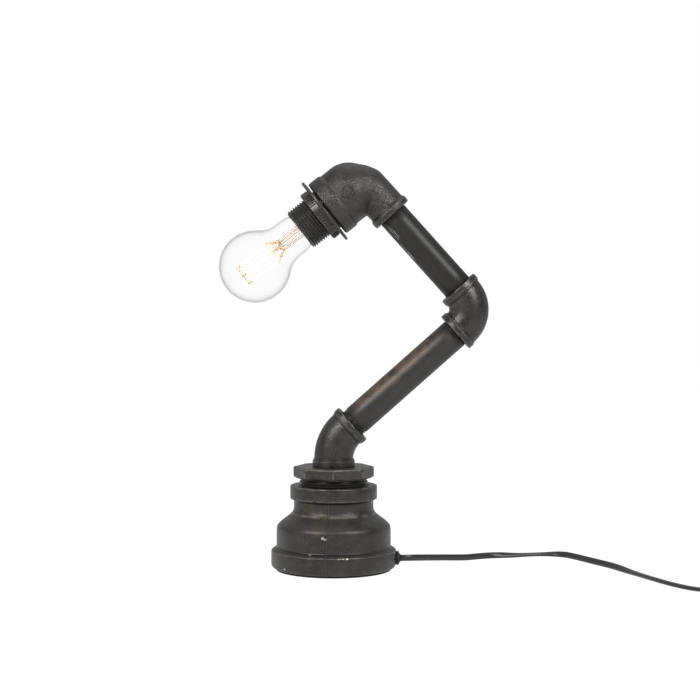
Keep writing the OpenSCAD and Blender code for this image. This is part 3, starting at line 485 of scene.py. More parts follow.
# Black malleable iron: a sandy cast skin under thin black lacquer, cloudy and
# speckled, rubbed pale where grains stand proud. chips and stains are spots of bare
# metal and of brown rust; on the foot one chip is a painted highlight. A seam is (line's
# turn about the axis, half width), its raised line painted lighter and the strips beside
# it darker, as painted highlight and painted shade. The edge bands and crease bands are
# (height or point, half width, direction): edges painted lighter, partly as wear from
# handling and partly as painted highlight, and creases painted darker as painted shade.
def cast_iron(name, skin=1.0, chips=(), stains=(), seam=None, worn_and_lit_edges=(), painted_crease_shade=(), corners=None):
    iron = Finish(name)
    cloud = iron.noise(0.026, 4)
    blotch = iron.noise(0.007, 3, 0.6)
    sand = iron.noise(0.0026, 4, 0.6)
    grit = iron.noise(0.0011, 3, 0.65)
    rubbed = grit.step(0.50, 0.64) * blotch.step(0.30, 0.6)
    tone = iron.mix(cloud.step(0.3, 0.7), (0.0080, 0.0074, 0.0066), (0.0190, 0.0177, 0.0158))
    tone = iron.mix(blotch.step(0.45, 0.7) * 0.5, tone, (0.024, 0.0225, 0.0200))
    tone = iron.mix(rubbed * 0.42, tone, (0.072, 0.067, 0.060))
    height = sand * 0.35 + grit * 0.65

    def band(place, width, way_across=(0, 0, 1)):
        point = (0, 0, place) if isinstance(place, (int, float)) else tuple(place)
        off = iron.vector("SUBTRACT", iron.place, [c * MM for c in point])
        along = iron.vector("DOT_PRODUCT", off, tuple(way_across), out="Value")
        return 1 - (along + (sand - 0.5) * 0.0006).size().step(width * 0.4 * MM, width * MM)

    # Painted shade: the crease bands darken the tone where shade falls, behind beads, above the foot's band and
    # under its collar.
    if painted_crease_shade:
        crease_shade_mask = iron.any_of([band(*spot) for spot in painted_crease_shade])
        tone = iron.mix(crease_shade_mask * 0.75, tone, (0.0035, 0.0032, 0.0030))
    if stains:
        stain = iron.any_of([iron.near(*spot) for spot in stains]) * iron.noise(0.004, 3).step(0.3, 0.65)
        tone = iron.mix(stain * 0.6, tone, (0.043, 0.027, 0.017))
    # Painted highlight and wear: edge bands and the head's corners are painted lighter, broken up by blotches
    # and grit.
    bright = []
    if worn_and_lit_edges:
        bright.append(iron.any_of([band(*spot) for spot in worn_and_lit_edges]))
    if corners:
        x, y, z = iron.axes(iron.place)
        bright.append((x * x + y * y).power(0.5).step((corners - 0.5) * MM, corners * MM))
    if bright:
        edge = iron.any_of(bright) * blotch.step(0.34, 0.58) * (0.35 + grit)
        tone = iron.mix((edge * 0.75).clamped(), tone, (0.13, 0.123, 0.112))
    # The seam's ridge is painted lighter and the strips beside it darker: painted highlight and painted shade
    # on a raised line, besides its bump.
    if seam:
        turn, width = seam
        x, y, z = iron.axes(iron.place)
        off = (x * cos(turn) + y * sin(turn) + (sand - 0.5) * 0.0004).size()
        ridge = 1 - off.step(width * 0.4 * MM, width * MM)
        beyond = 1 - off.step(width * 2 * MM, width * 3.4 * MM)
        seam_side_shade = off.step(width * 0.8 * MM, width * 1.4 * MM) * beyond
        tone = iron.mix(ridge * 0.35, tone, (0.10, 0.095, 0.09))
        tone = iron.mix(seam_side_shade * 0.6, tone, (0.005, 0.005, 0.005))
        height = height + ridge * 1.2
    if chips:
        chip_and_glint_mask = iron.any_of([iron.near(*spot) for spot in chips]) * grit.step(0.45, 0.52)
        tone = iron.mix(chip_and_glint_mask, tone, (0.66, 0.64, 0.60))
        height = height - chip_and_glint_mask * 0.6
    iron.set(
        Base_Color=tone, Specular_IOR_Level=0.5,
        Roughness=(0.23 + cloud * 0.10 + grit * 0.13).clamped(),
        Normal=iron.bump(height, 0.0009 * skin))
    return iron


# Chips of bare metal, except the long spot 19.8 mm up on the fillet above the band, which is a painted
# highlight.
foot_chips_and_glint = [
    ((-9.0, -49.5, 34), 1.2), ((-6.4, -50, 32.8), 1.1), ((-22, -48, 19.8), 1.3, 0.3, (0.4, 1, 2.4)),
    ((5.4, -54.5, 17.0), 0.9, 0.2, (0.6, 1, 2.2)), ((8.4, -54.2, 17.0), 0.7, 0.2, (0.6, 1, 2.2)),
    ((11.8, -53.6, 17.0), 1.2, 0.2, (0.6, 1, 2.2)),
    ((-42, -35.3, 5.2), 0.8)]
foot_stains = [
    ((-13, -44, 43), 9), ((-9, -40, 49), 6), ((-24, -30, 58), 7), ((-53, -13, 9), 10),
    ((30, -35, 50), 8), ((20, 40, 46), 9)]
band_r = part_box("base_reducer")[1].x / MM
foot_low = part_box("base_reducer")[0].z / MM
foot_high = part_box("base_reducer")[1].z / MM
foot_bore = 44.45
band_top = 17.6
body_r = 50.3
neck_r = 34.95
collar_r = 38.2
collar_low = 63
thread_r = 30.15
foot_outline = (
    [(foot_bore, 12), (foot_bore, foot_low + 1)]
    + corner(foot_bore + 1, foot_low + 1, 1, 180, 270, 3)
    + corner(band_r - 4, foot_low + 4, 4, -90, 0, 8)
    + corner(band_r - 0.9, band_top - 0.9, 0.9, 0, 60, 4)
    + [(body_r + 2.0, band_top + 1.6)]
    + corner(body_r + 1.6, band_top + 3.6, 1.6, 240, 180, 4)
    + [(body_r, 30), (body_r - 0.1, 35)]
    + waist(body_r - 0.3, 37, neck_r + 0.3, 53.4)
    + [(neck_r, 55), (neck_r, collar_low - 3.4)]
    + corner(neck_r + 1.6, collar_low - 3.0, 1.6, 180, 110, 4)
    + corner(collar_r - 1.2, collar_low + 0.4, 1.2, -60, 0, 4)
    + corner(collar_r - 1.1, foot_high - 1.1, 1.1, 0, 90, 5)
    + corner(thread_r + 0.9, foot_high - 0.8, 0.8, 90, 160, 3)
    + [(thread_r + 0.1, 54), (thread_r - 2, 52), (foot_bore, 32), (foot_bore, 12)])
foot = drawn("foot_casting", turned(foot_outline), 128)
deselect()
bpy.ops.mesh.primitive_cylinder_add(
    vertices=48, radius=5 * MM, depth=30 * MM, location=(50 * MM, 0, hole_height * MM),
    rotation=(0, pi / 2, 0))
cut_out(foot, bpy.context.object)
# Its edge bands are painted lighter, as wear and painted highlight, and its crease bands above the band and
# under the collar darker, as painted shade.
foot_iron = cast_iron(
    "foot_cast_iron", 0.5, foot_chips_and_glint, foot_stains, (radians(-6.6), 0.45),
    worn_and_lit_edges=[(band_top - 0.5, 0.5), (foot_high - 0.5, 0.6), (collar_low + 0.5, 0.5), (50, 1.2)],
    painted_crease_shade=[(band_top + 2.2, 1.3), (collar_low - 2.2, 1.6)])
dress(foot, "base", "iron", foot_iron, "base_reducer")


# ---- Bushing ----
# A cast reducing bushing with an eight-sided head, screwed into the foot with two
# turns of its taper thread left showing, its corners and the edges of its faces painted
# lighter, partly as wear and partly as painted highlight.


# Thread crests as outline points, from one height up to another.
def crests(radius, low, high, depth=0.9, pitch=1.814):
    count = int((high - low) / pitch)
    points = []
    for i in range(count):
        z = low + i * pitch
        points += [(radius - depth, z), (radius - depth * 0.85, z + 0.25 * pitch),
                   (radius - 0.06, z + 0.45 * pitch), (radius - 0.06, z + 0.6 * pitch),
                   (radius - depth * 0.85, z + 0.85 * pitch)]
    return points + [(radius - depth, low + count * pitch)]


head_low = 80
head_high = 90.8
bushing_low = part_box("base_bushing")[0].z / MM
bushing = drawn("bushing_thread", turned(
    [(24.6, bushing_low)] + crests(thread_r, bushing_low, head_low - 1.2, 1.7, 2.309)
    + [(28.2, head_low + 2), (13.5, head_low + 2), (13.5, 74), (10.5, 70), (24.6, 70), (24.6, bushing_low)]))
corners_r = 35.7
flats = 8
head_outline = (
    [(20, head_low), (corners_r - 3.6, head_low), (corners_r - 1.4, head_low + 1.1),
     (corners_r - 0.2, head_low + 2.2), (corners_r - 0.2, head_high - 0.8),
     (corners_r - 1.0, head_high),
     (15.6, head_high), (13.6, head_high - 1.4), (13.6, head_low + 1), (20, head_low)])
head = drawn("bushing_head", turned(head_outline), flats)
modifier(head, "BEVEL", width=0.5 * MM, segments=3, limit_method="ANGLE", angle_limit=radians(25))
# Its top and bottom edges and its eight corners are painted lighter: wear and painted highlight.
head_iron = cast_iron("bushing_cast_iron", 0.45, worn_and_lit_edges=[(head_high - 0.7, 0.7), (head_low + 1.2, 0.6)],
                      corners=corners_r - 0.25)
dress(bushing, "base", "iron", cast_iron("cut_thread_iron", 0.15), "base_bushing")
dress(head, "base", "iron", head_iron, "base_bushing")


# ---- Elbows ----
# Banded malleable elbows, cast in two-part sand moulds: a bend with a thick round
# bead at each mouth and a fillet behind the bead.
lower_lean = radians(48.4)
upper_lean = radians(-42)
lower_run = 170.8
upper_run = 153.1
corner_low = Vector((0, 0, 113.4))
corner_mid = corner_low + lower_run * way(lower_lean)
corner_top = corner_mid + upper_run * way(upper_lean)
shallow_face = 22.5
square_face = 28.3
branch_face = 39.5
socket_depth = 13.6
elbow_r = 17.1
bead_r = 18.6
bead_w = 6.8
bore_r = 13.4
passage_r = 10.45


# Centres and leans round a bend whose straight runs would meet at a corner.
def bend_centres(at, lean_in, lean_out, reach, count):
    side = 1 if lean_out > lean_in else -1
    radius = reach / tan(abs(lean_out - lean_in) / 2)
    hub = at - reach * way(lean_in) + radius * way(lean_in + side * pi / 2)
    leans = [lean_in + (lean_out - lean_in) * i / count for i in range(count + 1)]
    return [(hub - radius * way(lean + side * pi / 2), lean) for lean in leans]


# How far from its corner an elbow's bend begins.
def bend_reach(face):
    return face - bead_w + 0.6


# Rings of an elbow's outside, then back through its bore.
def elbow_rings(at, lean_in, lean_out, face):
    first = at - face * way(lean_in)
    last = at + face * way(lean_out)
    bead = (corner(bore_r + 0.9, 0.8, 0.8, 200, 270, 3) + corner(bead_r - 0.9, 0.9, 0.9, -90, 0, 5)
            + corner(bead_r - 0.5, bead_w - 1.9, 0.5, 0, 80, 4) + [(bead_r - 0.75, bead_w - 1.25)]
            + corner(bead_r - 1.15, bead_w - 0.6, 0.5, 0, 80, 4)
            + corner(elbow_r + 0.75, bead_w + 0.85, 0.8, 250, 185, 4))
    count = 26
    bend = bend_centres(at, lean_in, lean_out, bend_reach(face), count)
    outside = [(p * MM, lean, elbow_r * (1 + 0.012 * sin(pi * i / count)) * MM)
               for i, (p, lean) in enumerate(bend)]
    inside = [(p * MM, lean, passage_r * MM) for p, lean in reversed(bend)]
    rings = (turned(bead, first, lean_in) + outside
             + turned([(r, -z) for r, z in reversed(bead)], last, lean_out)
             + turned([(bore_r, -socket_depth), (passage_r, -socket_depth)], last, lean_out) + inside
             + turned([(passage_r, socket_depth), (bore_r, socket_depth)], first, lean_in))
    return rings + rings[:1]


# Iron with its beads' edges painted lighter, as wear and painted highlight, and the
# creases behind them painted darker, as painted shade, at each mouth.
def elbow_finish(name, skin, mouths, **more):
    worn_and_lit_edges, painted_crease_shade = [], []
    for at, lean, face in mouths:
        for back, width, bands in ((0.6, 0.5, worn_and_lit_edges), (bead_w - 2.0, 0.45, worn_and_lit_edges), (bead_w + 0.3, 0.9, painted_crease_shade)):
            bands.append((at + way(lean) * (face - back), width, way(lean)))
    return cast_iron(name, skin, worn_and_lit_edges=worn_and_lit_edges, painted_crease_shade=painted_crease_shade, **more)


lower_elbow_iron = elbow_finish(
    "lower_elbow_iron", 0.42, [(corner_low, pi, shallow_face), (corner_low, lower_lean, shallow_face)],
    stains=[((20, -16, 118), 4), ((15, 10, 128), 5)])
middle_elbow_iron = elbow_finish(
    "middle_elbow_iron", 0.26,
    [(corner_mid, lower_lean + pi, square_face), (corner_mid, upper_lean, square_face)],
    stains=[((114, -14, 224), 6, 0.5)])
lower_elbow = drawn("lower_elbow", elbow_rings(corner_low, 0, lower_lean, shallow_face))
dress(lower_elbow, "lower_elbow", "iron", lower_elbow_iron, "elbow_45")
middle_elbow = drawn("middle_elbow", elbow_rings(corner_mid, lower_lean, upper_lean, square_face))
dress(middle_elbow, "arm", "iron", middle_elbow_iron, "elbow_90")


# ---- Reducing elbow ----
# The head fitting: a banded reducing elbow cast with a full round heel, its small
# branch on the upper pipe and its wide mouth facing down for the lampholder. A
# plain raised ring stands on the heel's front.
mouth_lean = radians(-(90 + 38.4))
mouth_face = 39.5
mouth_r = 27.05
mouth_w = 12.7
heel = corner_top + (mouth_face - 24) * way(mouth_lean)
heel_r = 26.1
swell_r = 21.35
mouth_centre = corner_top + mouth_face * way(mouth_lean)
shoulder = corner_top - 6 * way(upper_lean)
branch = corner_top - branch_face * way(upper_lean)
span = heel - shoulder
cone_lean = atan2(span.x, span.z)
slope = (heel_r - elbow_r) / span.length
flare = sqrt(1 - slope * slope)


def joined(pieces):
    deselect()
    for piece in pieces:
        piece.select_set(True)
    bpy.context.view_layer.objects.active = pieces[0]
    bpy.ops.object.join()
    return pieces[0]


heel_part = drawn("head_elbow", turned(
    [(0, -heel_r)] + corner(0, 0, heel_r, -88, 0, 20) + [(25.8, 11)], heel, mouth_lean) + turned(
    corner(mouth_r - 1.4, 1.4 - mouth_w, 1.4, -90, 0) + corner(mouth_r - 1.4, -1.4, 1.4, 0, 90)
    + [(10, 0), (0, 0)], mouth_centre, mouth_lean))
cone_part = drawn("shoulder_cone", turned([(0, 0), (elbow_r * flare, -elbow_r * slope)], shoulder, cone_lean)
                  + turned([(heel_r * flare, -heel_r * slope), (0, 0)], heel, cone_lean))
swell_part = drawn("heel_swell", turned(
    [(0, -swell_r)] + corner(0, 0, swell_r, -85, 85, 24) + [(0, swell_r)], shoulder + span * 0.40, cone_lean))
branch_part = drawn("branch", turned(
    [(0, 0)] + corner(bead_r - 1.2, 1.2, 1.2, -90, 0) + corner(bead_r - 1.2, bead_w - 1.2, 1.2, 0, 90)
    + [(elbow_r, bead_w + 0.2)], branch, upper_lean) + turned(
    corner(0, 0, elbow_r, 0, 88, 14) + [(0, elbow_r)], shoulder, upper_lean))

# The castings' parts are fused and their creases smoothed into fillets, but not the
# beads: past_bead and past_mouth are 0 on them.
heel_piece = joined([heel_part, cone_part, swell_part, branch_part])
modifier(heel_piece, "REMESH", mode="VOXEL", voxel_size=0.7 * MM, use_smooth_shade=True)
modifier(heel_piece, "SMOOTH", factor=0.5, iterations=6)
fillets = heel_piece.vertex_groups.new(name="fillets")
for vertex in heel_piece.data.vertices:
    place = vertex.co / MM
    past_bead = ease(((place - shoulder).dot(way(upper_lean)) + 31 - bead_w - 14) / 6)
    past_mouth = ease(((mouth_centre - place).dot(way(mouth_lean)) - 14) / 5)
    fillets.add([vertex.index], past_bead * past_mouth, "REPLACE")
modifier(heel_piece, "SMOOTH", factor=0.5, iterations=70, vertex_group="fillets")
branch_bore = [(0, -3), (bore_r, -3), (bore_r, socket_depth), (passage_r, socket_depth), (passage_r, 34),
               (0, 34)]
mouth_bore = [(0, 3), (21, 3), (20.9, 0.01), (19.75, -1.1), (19.75, -16), (21, -17), (21, -22), (17, -30),
              (0, -34)]
cut_out(heel_piece, drawn("branch_bore", turned(branch_bore, branch, upper_lean)))
cut_out(heel_piece, drawn("mouth_bore", turned(mouth_bore, mouth_centre, mouth_lean)))
heel_iron = elbow_finish(
    "head_elbow_iron", 0.8, [(corner_top, upper_lean + pi, branch_face)], stains=[((40, -20, 345), 7, 0.5)])
dress(heel_piece, "head", "iron", heel_iron, "reducing_elbow")
bpy.ops.mesh.primitive_torus_add(
    location=(12.2 * MM, -25.6 * MM, 330.2 * MM), rotation=(pi / 2, 0, 0), major_radius=5.2 * MM,
    minor_radius=0.75 * MM, major_segments=64, minor_segments=12)
raised_ring = bpy.context.object
raised_ring.name = "plain_raised_ring"
bpy.ops.object.transform_apply()
bpy.ops.object.shade_smooth()
dress(raised_ring, "head", "iron", heel_iron)


# ---- Pipes ----
# Three-quarter-inch black steel pipe, lacquered, with a taper thread cut on each end.
# The mill's drawing leaves faint lines along it, and handling a few bright scratches.
pipe_r = 13.35
pipe_thread = 13.2
screwed_in = 13.1


# A pipe between two fittings' faces, with so much more of its near thread cut.
def pipe_piece(name, at, lean, near_face, far_face, shown=0):
    length = far_face - near_face + 2 * screwed_in
    near = crests(pipe_r, 0, pipe_thread + shown)
    far = [(r, length - z) for r, z in reversed(crests(pipe_r, 0, pipe_thread))]
    low = pipe_thread + shown + 0.8
    high = length - pipe_thread - 0.8
    plain = [(pipe_r, low + (high - low) * i / 8) for i in range(9)]
    outline = ([(passage_r, 0), (12.2, 0)] + near + plain + far
               + [(12.2, length), (passage_r, length), (passage_r, 0)])
    return drawn(name, turned(outline, at + (near_face - screwed_in) * way(lean), lean))


def leaned_point(point, lean):
    x, y, z = point
    return (x * cos(lean) - z * sin(lean), y, x * sin(lean) + z * cos(lean))


# Lacquered pipe. Its scratches and brown stains are spots, each one (point, radius,
# softness, squash), squashed along the pipe's own lean. The stains are painted lighter
# and warmer than the lacquer: rust, and a painted warm highlight where the left lamp falls.
def pipe_skin(name, lean, rough, gloss, scratches=(), stains=()):
    pipe = Finish(name)
    turned_place = pipe.leaned(lean)
    cloud = pipe.noise(0.03, 4)
    drawn_lines = pipe.noise(0.0012, 3, 0.6, (1, 1, 0.06), turned_place)
    grain = pipe.noise(0.0015, 4, 0.6)
    tone = pipe.mix(cloud.step(0.3, 0.7), (0.0105, 0.0100, 0.0094), (0.0190, 0.0182, 0.0172))
    tone = pipe.mix(drawn_lines.step(0.55, 0.75) * 0.35, tone, (0.040, 0.038, 0.035))

    def spots(places):
        return pipe.any_of([
            pipe.near(leaned_point(at, lean), *shape, turned_place) for at, *shape in places])

    if stains:
        stain = spots(stains) * pipe.noise(0.008, 3).step(0.3, 0.6)
        tone = pipe.mix(stain * 0.75, tone, (0.085, 0.050, 0.032))
    height = grain * 0.5 + drawn_lines * 0.5
    if scratches:
        fine = pipe.noise(0.0007, 2, 0.5, (1, 1, 0.02), turned_place).step(0.58, 0.62)
        scratch = spots(scratches) * fine
        tone = pipe.mix(scratch, tone, (0.72, 0.66, 0.61))
        height = height - scratch * 0.8
    pipe.set(
        Base_Color=tone, Specular_IOR_Level=gloss,
        Roughness=(rough + cloud * 0.07 + grain * 0.08).clamped(),
        Normal=pipe.bump(height, 0.00004))
    return pipe


# Brown rust on the lower pipe's upper-left side, painted light and warm enough to be also a painted highlight
# from the warm lamp.
lower_rust_and_warm_sheen = [((34, -6, 160), 9, 0.4, (1, 1, 0.35)), ((51, -7, 173.5), 10, 0.4, (1, 1, 0.35)),
                ((70, -8, 190), 8, 0.4, (1, 1, 0.35))]
upper_scratches = [((64.2, -5.2, 280.8), 2.0, 0.2, (1, 1, 0.17)),
                   ((53.6, -8.4, 294.4), 1.4, 0.3, (1, 1, 0.16))]
pipe_finish = pipe_skin("black_lacquered_pipe", lower_lean, 0.38, 0.5, (), lower_rust_and_warm_sheen)
scratched_finish = pipe_skin("scratched_lacquered_pipe", upper_lean, 0.35, 0.26, upper_scratches)
lower_pipe = pipe_piece("lower_arm_pipe", corner_low, lower_lean, shallow_face, lower_run - square_face, 3.6)
upper_pipe = pipe_piece("upper_arm_pipe", corner_mid, upper_lean, square_face, upper_run - branch_face)
dress(lower_pipe, "arm", "pipe_iron", pipe_finish, "lower_pipe")
dress(upper_pipe, "arm", "pipe_iron", scratched_finish, "upper_pipe")


# ---- Lampholder sleeve ----
# The holder's outer sleeve, moulded in glossy black phenolic with a coarse round
# thread along it for the shade ring.
sleeve_r = 19.65
coarse = 2.5


def holder_piece(name, outline, sides=96):
    return drawn(name, turned(outline, mouth_centre, mouth_lean), sides)


sleeve_thread = []
for i in range(11):
    z = 1.5 + i * coarse
    sleeve_thread += [(sleeve_r - 1.35, z + 0.15), (sleeve_r - 1.2, z + 0.5), (sleeve_r - 0.25, z + 1.1),
                      (sleeve_r, z + 1.35), (sleeve_r - 0.25, z + 1.6), (sleeve_r - 1.2, z + 2.2)]
sleeve = holder_piece("holder_sleeve_thread", (
    [(16.6, -20), (sleeve_r, -20), (sleeve_r, 1.5)] + sleeve_thread
    + [(sleeve_r - 1.35, 29.2), (sleeve_r - 1.5, 29.9), (17.4, 30), (16.9, 29.5), (16.9, -14), (16.6, -14),
       (16.6, -20)]))
phenolic = clouded("black_phenolic", (0.006, 3), (0.018, 0.0175, 0.017), (0.032, 0.031, 0.029),
                   (0.30, 0.12), (0.0015, 2, 0.00004))
dress(sleeve, "head", "black_plastic", phenolic, "holder_sleeve")


# ---- Shade ring ----
# The ring that clamps a shade against the mouth: a thin flange and a short collar
# with groups of grip ribs and smooth panels between, moulded in the same phenolic.
flange_r = 31.5
grip_r = 23.2
hole_r = sleeve_r + 0.05
ring = holder_piece("shade_ring_body", (
    [(hole_r, 1.5)] + corner(flange_r - 0.8, 2.3, 0.8, -90, 0, 4) + corner(flange_r - 0.8, 3.1, 0.8, 0, 90, 4)
    + [(grip_r + 0.8, 3.95), (grip_r + 0.2, 4.3), (grip_r, 4.9), (grip_r, 10.8)]
    + corner(grip_r - 0.8, 10.8, 0.8, 0, 90, 4) + [(hole_r, 11.6), (hole_r, 1.5)]))
dress(ring, "shade_ring", "black_plastic", phenolic, "shade_ring")


# The way out from the holder's axis at an angle about it, and a place beside it.
def outward(angle):
    return way(mouth_lean + pi / 2) * cos(radians(angle)) + Vector((0, 1, 0)) * sin(radians(angle))


def beside(out, angle, along):
    return (mouth_centre + way(mouth_lean) * along + outward(angle) * out) * MM


def smoothed(piece, degrees):
    select_only(piece)
    bpy.ops.object.shade_smooth_by_angle(angle=radians(degrees))


deselect()
bpy.ops.mesh.primitive_cube_add(size=1)
first_rib = bpy.context.object
first_rib.scale = (1.3 * MM, 1.0 * MM, 6.2 * MM)
bpy.ops.object.transform_apply()
modifier(first_rib, "BEVEL", width=0.42 * MM, segments=3)
ribs = []
for panel in range(6):
    for i in range(7):
        angle = 60 * panel - 50 + (i - 3) * 5.4
        out = outward(angle)
        stand = Matrix((out, way(mouth_lean).cross(out), way(mouth_lean))).transposed().to_4x4()
        rib = bpy.data.objects.new("grip_ribs", first_rib.data.copy())
        bpy.context.collection.objects.link(rib)
        rib.data.transform(Matrix.Translation(beside(grip_r, angle, 8)) @ stand)
        ribs.append(rib)
bpy.data.objects.remove(first_rib)
grip_ribs = joined(ribs)
smoothed(grip_ribs, 40)
dress(grip_ribs, "shade_ring", "black_plastic", phenolic)


# ---- Bulb ----
# A clear globe bulb, blown thin, on a nickel screw cap. Its glass stem carries four
# straight filaments on copper lead wires, spread evenly about the bulb's axis.
globe_r = 31.5
globe_z = 80.5
glass_wall = 0.8
bulb_neck = 15.7
bulb_shoulder = 17.4
join_lean = radians(-39)


# A smooth pull of the glass: a curve from a to d, drawn towards b and c on the way.
def pulled(a, b, c, d, count):
    points = []
    for i in range(count + 1):
        t = i / count
        u = 1 - t
        points.append(tuple(
            a[k] * u ** 3 + b[k] * 3 * u * u * t + c[k] * 3 * u * t * t + d[k] * t ** 3 for k in (0, 1)))
    return points


def glass_outline(wall):
    r = globe_r - wall
    neck = bulb_neck - wall
    wide = bulb_shoulder - wall
    meet = (r * cos(join_lean), globe_z + r * sin(join_lean))
    pull = (meet[0] + 9 * sin(join_lean), meet[1] - 9 * cos(join_lean))
    return (pulled((11.2 - wall, 20), (11.4 - wall, 26), (12.7 - wall, 27.2), (neck, 30), 8)
            + pulled((neck, 30), (neck + 0.9, 32.5), (wide, 34.5), (wide, 38), 8)[1:]
            + pulled((wide, 42), (wide, 51), pull, meet, 20)
            + corner(0, globe_z, r, -39, 90, 72)[1:])


wall_outline = glass_outline(0) + glass_outline(glass_wall)[::-1]
glass_piece = holder_piece("bulb_glass_blown", wall_outline + wall_outline[:1], 240)
clear_glass = Finish("clear_glass")
# The glass's rim is painted dark grey where the surface turns away from the view: painted shade standing in for
# the dark edge that refraction gives thin glass.
rim = clear_glass.node("ShaderNodeLayerWeight", {}, {"Blend": 0.5}, "Facing")
rim_tone = clear_glass.mix((rim.power(5.0) * 1.2).clamped(), (0.985, 0.985, 0.985), (0.07, 0.07, 0.072))
clear_glass.set(Base_Color=rim_tone, Roughness=0.0, IOR=1.04, Transmission_Weight=1.0)
dress(glass_piece, "bulb", "glass", clear_glass, "bulb_glass")

stem_outline = (
    [(8.0, 22.3), (9.4, 22.3), (9.5, 23.2), (8.4, 26), (7.4, 30), (7.0, 34), (6.8, 44), (6.2, 48), (4.9, 50.4),
     (3.3, 51.6), (1.3, 52.4), (1.1, 53)]
    + [(1.1, 60 + 2 * i) for i in range(17)] + [(0.8, 94.6), (0, 94.9)]
    + [(0, 51), (2.9, 50.8), (4.3, 49.6), (5.5, 47.4), (6.0, 44), (6.2, 34), (6.6, 30), (7.6, 26), (8.0, 22.3)])
stem_piece = holder_piece("stem_glass", stem_outline, 48)
stem_glass = Finish("stem_glass")
stem_glass.set(Base_Color=(0.97, 0.98, 0.975), Roughness=0.02, IOR=1.12, Transmission_Weight=1.0)
dress(stem_piece, "bulb", "glass", stem_glass, "bulb_stem")


# A round wire through some points, drawn as a bevelled curve and made a mesh.
def wire_piece(name, routes, thick):
    data = bpy.data.curves.new(name, "CURVE")
    data.dimensions = "3D"
    data.bevel_depth = thick / 2 * MM
    data.bevel_resolution = 3
    data.use_fill_caps = True
    for points in routes:
        spline = data.splines.new("POLY")
        fine = smooth_line(points, 5)
        spline.points.add(len(fine) - 1)
        for point, place in zip(spline.points, fine):
            point.co = (*place, 1)
    piece = bpy.data.objects.new(name, data)
    bpy.context.collection.objects.link(piece)
    select_only(piece)
    bpy.ops.object.convert(target="MESH")
    bpy.ops.object.mode_set(mode="EDIT")
    bpy.ops.mesh.select_all(action="SELECT")
    bpy.ops.mesh.remove_doubles(threshold=one_point)
    bpy.ops.mesh.normals_make_consistent(inside=False)
    bpy.ops.object.mode_set(mode="OBJECT")
    bpy.ops.object.shade_smooth()
    return bpy.context.object


near_r = 9.5
far_r = 8.2
near_end = 60
far_end = 93
quarters = (0, 90, 180, 270)
leads = [[beside(out, a, along) for out, along in ((5.7, 23.5), (5.6, 32), (5.3, 41), (4.8, 49.6))]
         for a in (80, -64, 48, 12, -108, 130, -160)]
leads += [[beside(out, a + turn, along) for out, turn, along in (
    (4.4, 0, 51.6), (5.4, 4, 54.2), (7.4, -3, 57.2), (near_r - 0.2, 0, 59.6))] for a in quarters]
ties = [[beside(out, a + turn, far_end + rise) for out, turn, rise in (
    (1.5, 0, 0.6), (3.6, 5, 0.9), (6.2, -3, 0.5), (far_r, 0, 0.6))] for a in quarters]
copper = clouded("copper_wire", (0.002, 3), (0.56, 0.30, 0.17), (0.80, 0.50, 0.33), (0.26, 0.15),
                 Metallic=0.85)
dress(wire_piece("lead_wires", leads, 0.62), "bulb", "wire", copper, "filament_wires")
dress(wire_piece("end_wires", ties, 0.34), "bulb", "wire", copper)


# Small uneven blobs of weld: a ball added at each place and squeezed a little.
def blobs(name, places, size):
    made = []
    for i, place in enumerate(places):
        deselect()
        bpy.ops.mesh.primitive_uv_sphere_add(segments=16, ring_count=10, radius=size * MM, location=place)
        blob = bpy.context.object
        blob.scale = (1 + 0.35 * sin(2.1 * i), 1 + 0.3 * cos(1.7 * i), 1 + 0.35 * sin(1.3 * i + 1))
        blob.rotation_euler = (0.9 * i, 0.5 * i, 0)
        bpy.ops.object.transform_apply()
        made.append(blob)
    blob = joined(made)
    blob.name = name
    bpy.ops.object.shade_smooth()
    return blob


weld = clouded("hot_copper_weld", (0.0012, 3), (0.62, 0.25, 0.08), (0.95, 0.52, 0.22), (0.35, 0.2))
dress(blobs("lead_knots", [beside(4.6, a, 51.4) for a in range(0, 360, 60)]
            + [beside(5.4, a + 8, 54.0) for a in quarters] + [beside(6.9, a, 56.6) for a in quarters], 1.3),
      "bulb", "wire", weld)

# The filaments: rods of cream phosphor with a yellow-green end tab at the stem and
# a yellow-brown one at the far end.
rods = []
for a in quarters:
    start = beside(near_r, a, near_end)
    end = beside(far_r, a, far_end)
    deselect()
    bpy.ops.mesh.primitive_cylinder_add(
        vertices=20, radius=0.83 * MM, depth=(end - start).length, location=(start + end) / 2,
        rotation=(end - start).to_track_quat("Z", "Y").to_euler())
    rods.append(bpy.context.object)
    bpy.ops.object.transform_apply()
    modifier(rods[-1], "BEVEL", width=0.3 * MM, segments=3, limit_method="ANGLE")
filament_rods = joined(rods)
filament_rods.name = "filament_rods"
smoothed(filament_rods, 40)
phosphor = Finish("filament_phosphor")
along_axis = phosphor.vector("DOT_PRODUCT", phosphor.place, tuple(way(mouth_lean)), out="Value")
from_mouth = along_axis - (mouth_centre * MM).dot(way(mouth_lean))
near_tab = 1 - from_mouth.step((near_end + 2.2) * MM, (near_end + 3) * MM)
far_tab = from_mouth.step((far_end - 3.5) * MM, (far_end - 2.7) * MM)
speck = phosphor.noise(0.0009, 3)
rod_tone = phosphor.mix(speck, (0.95, 0.91, 0.78), (1.0, 0.97, 0.88))
rod_tone = phosphor.mix(near_tab, rod_tone, phosphor.mix(speck, (0.70, 0.66, 0.16), (0.88, 0.84, 0.40)))
rod_tone = phosphor.mix(far_tab, rod_tone, phosphor.mix(speck, (0.55, 0.36, 0.08), (0.82, 0.66, 0.24)))
phosphor.set(
    Base_Color=rod_tone, Roughness=0.5 + speck * 0.2, Emission_Strength=0.55,
    Emission_Color=phosphor.mix(near_tab.most(far_tab), (1, 0.98, 0.92), (0.02, 0.015, 0.0)))
dress(filament_rods, "bulb", "filament", phosphor, "filaments")
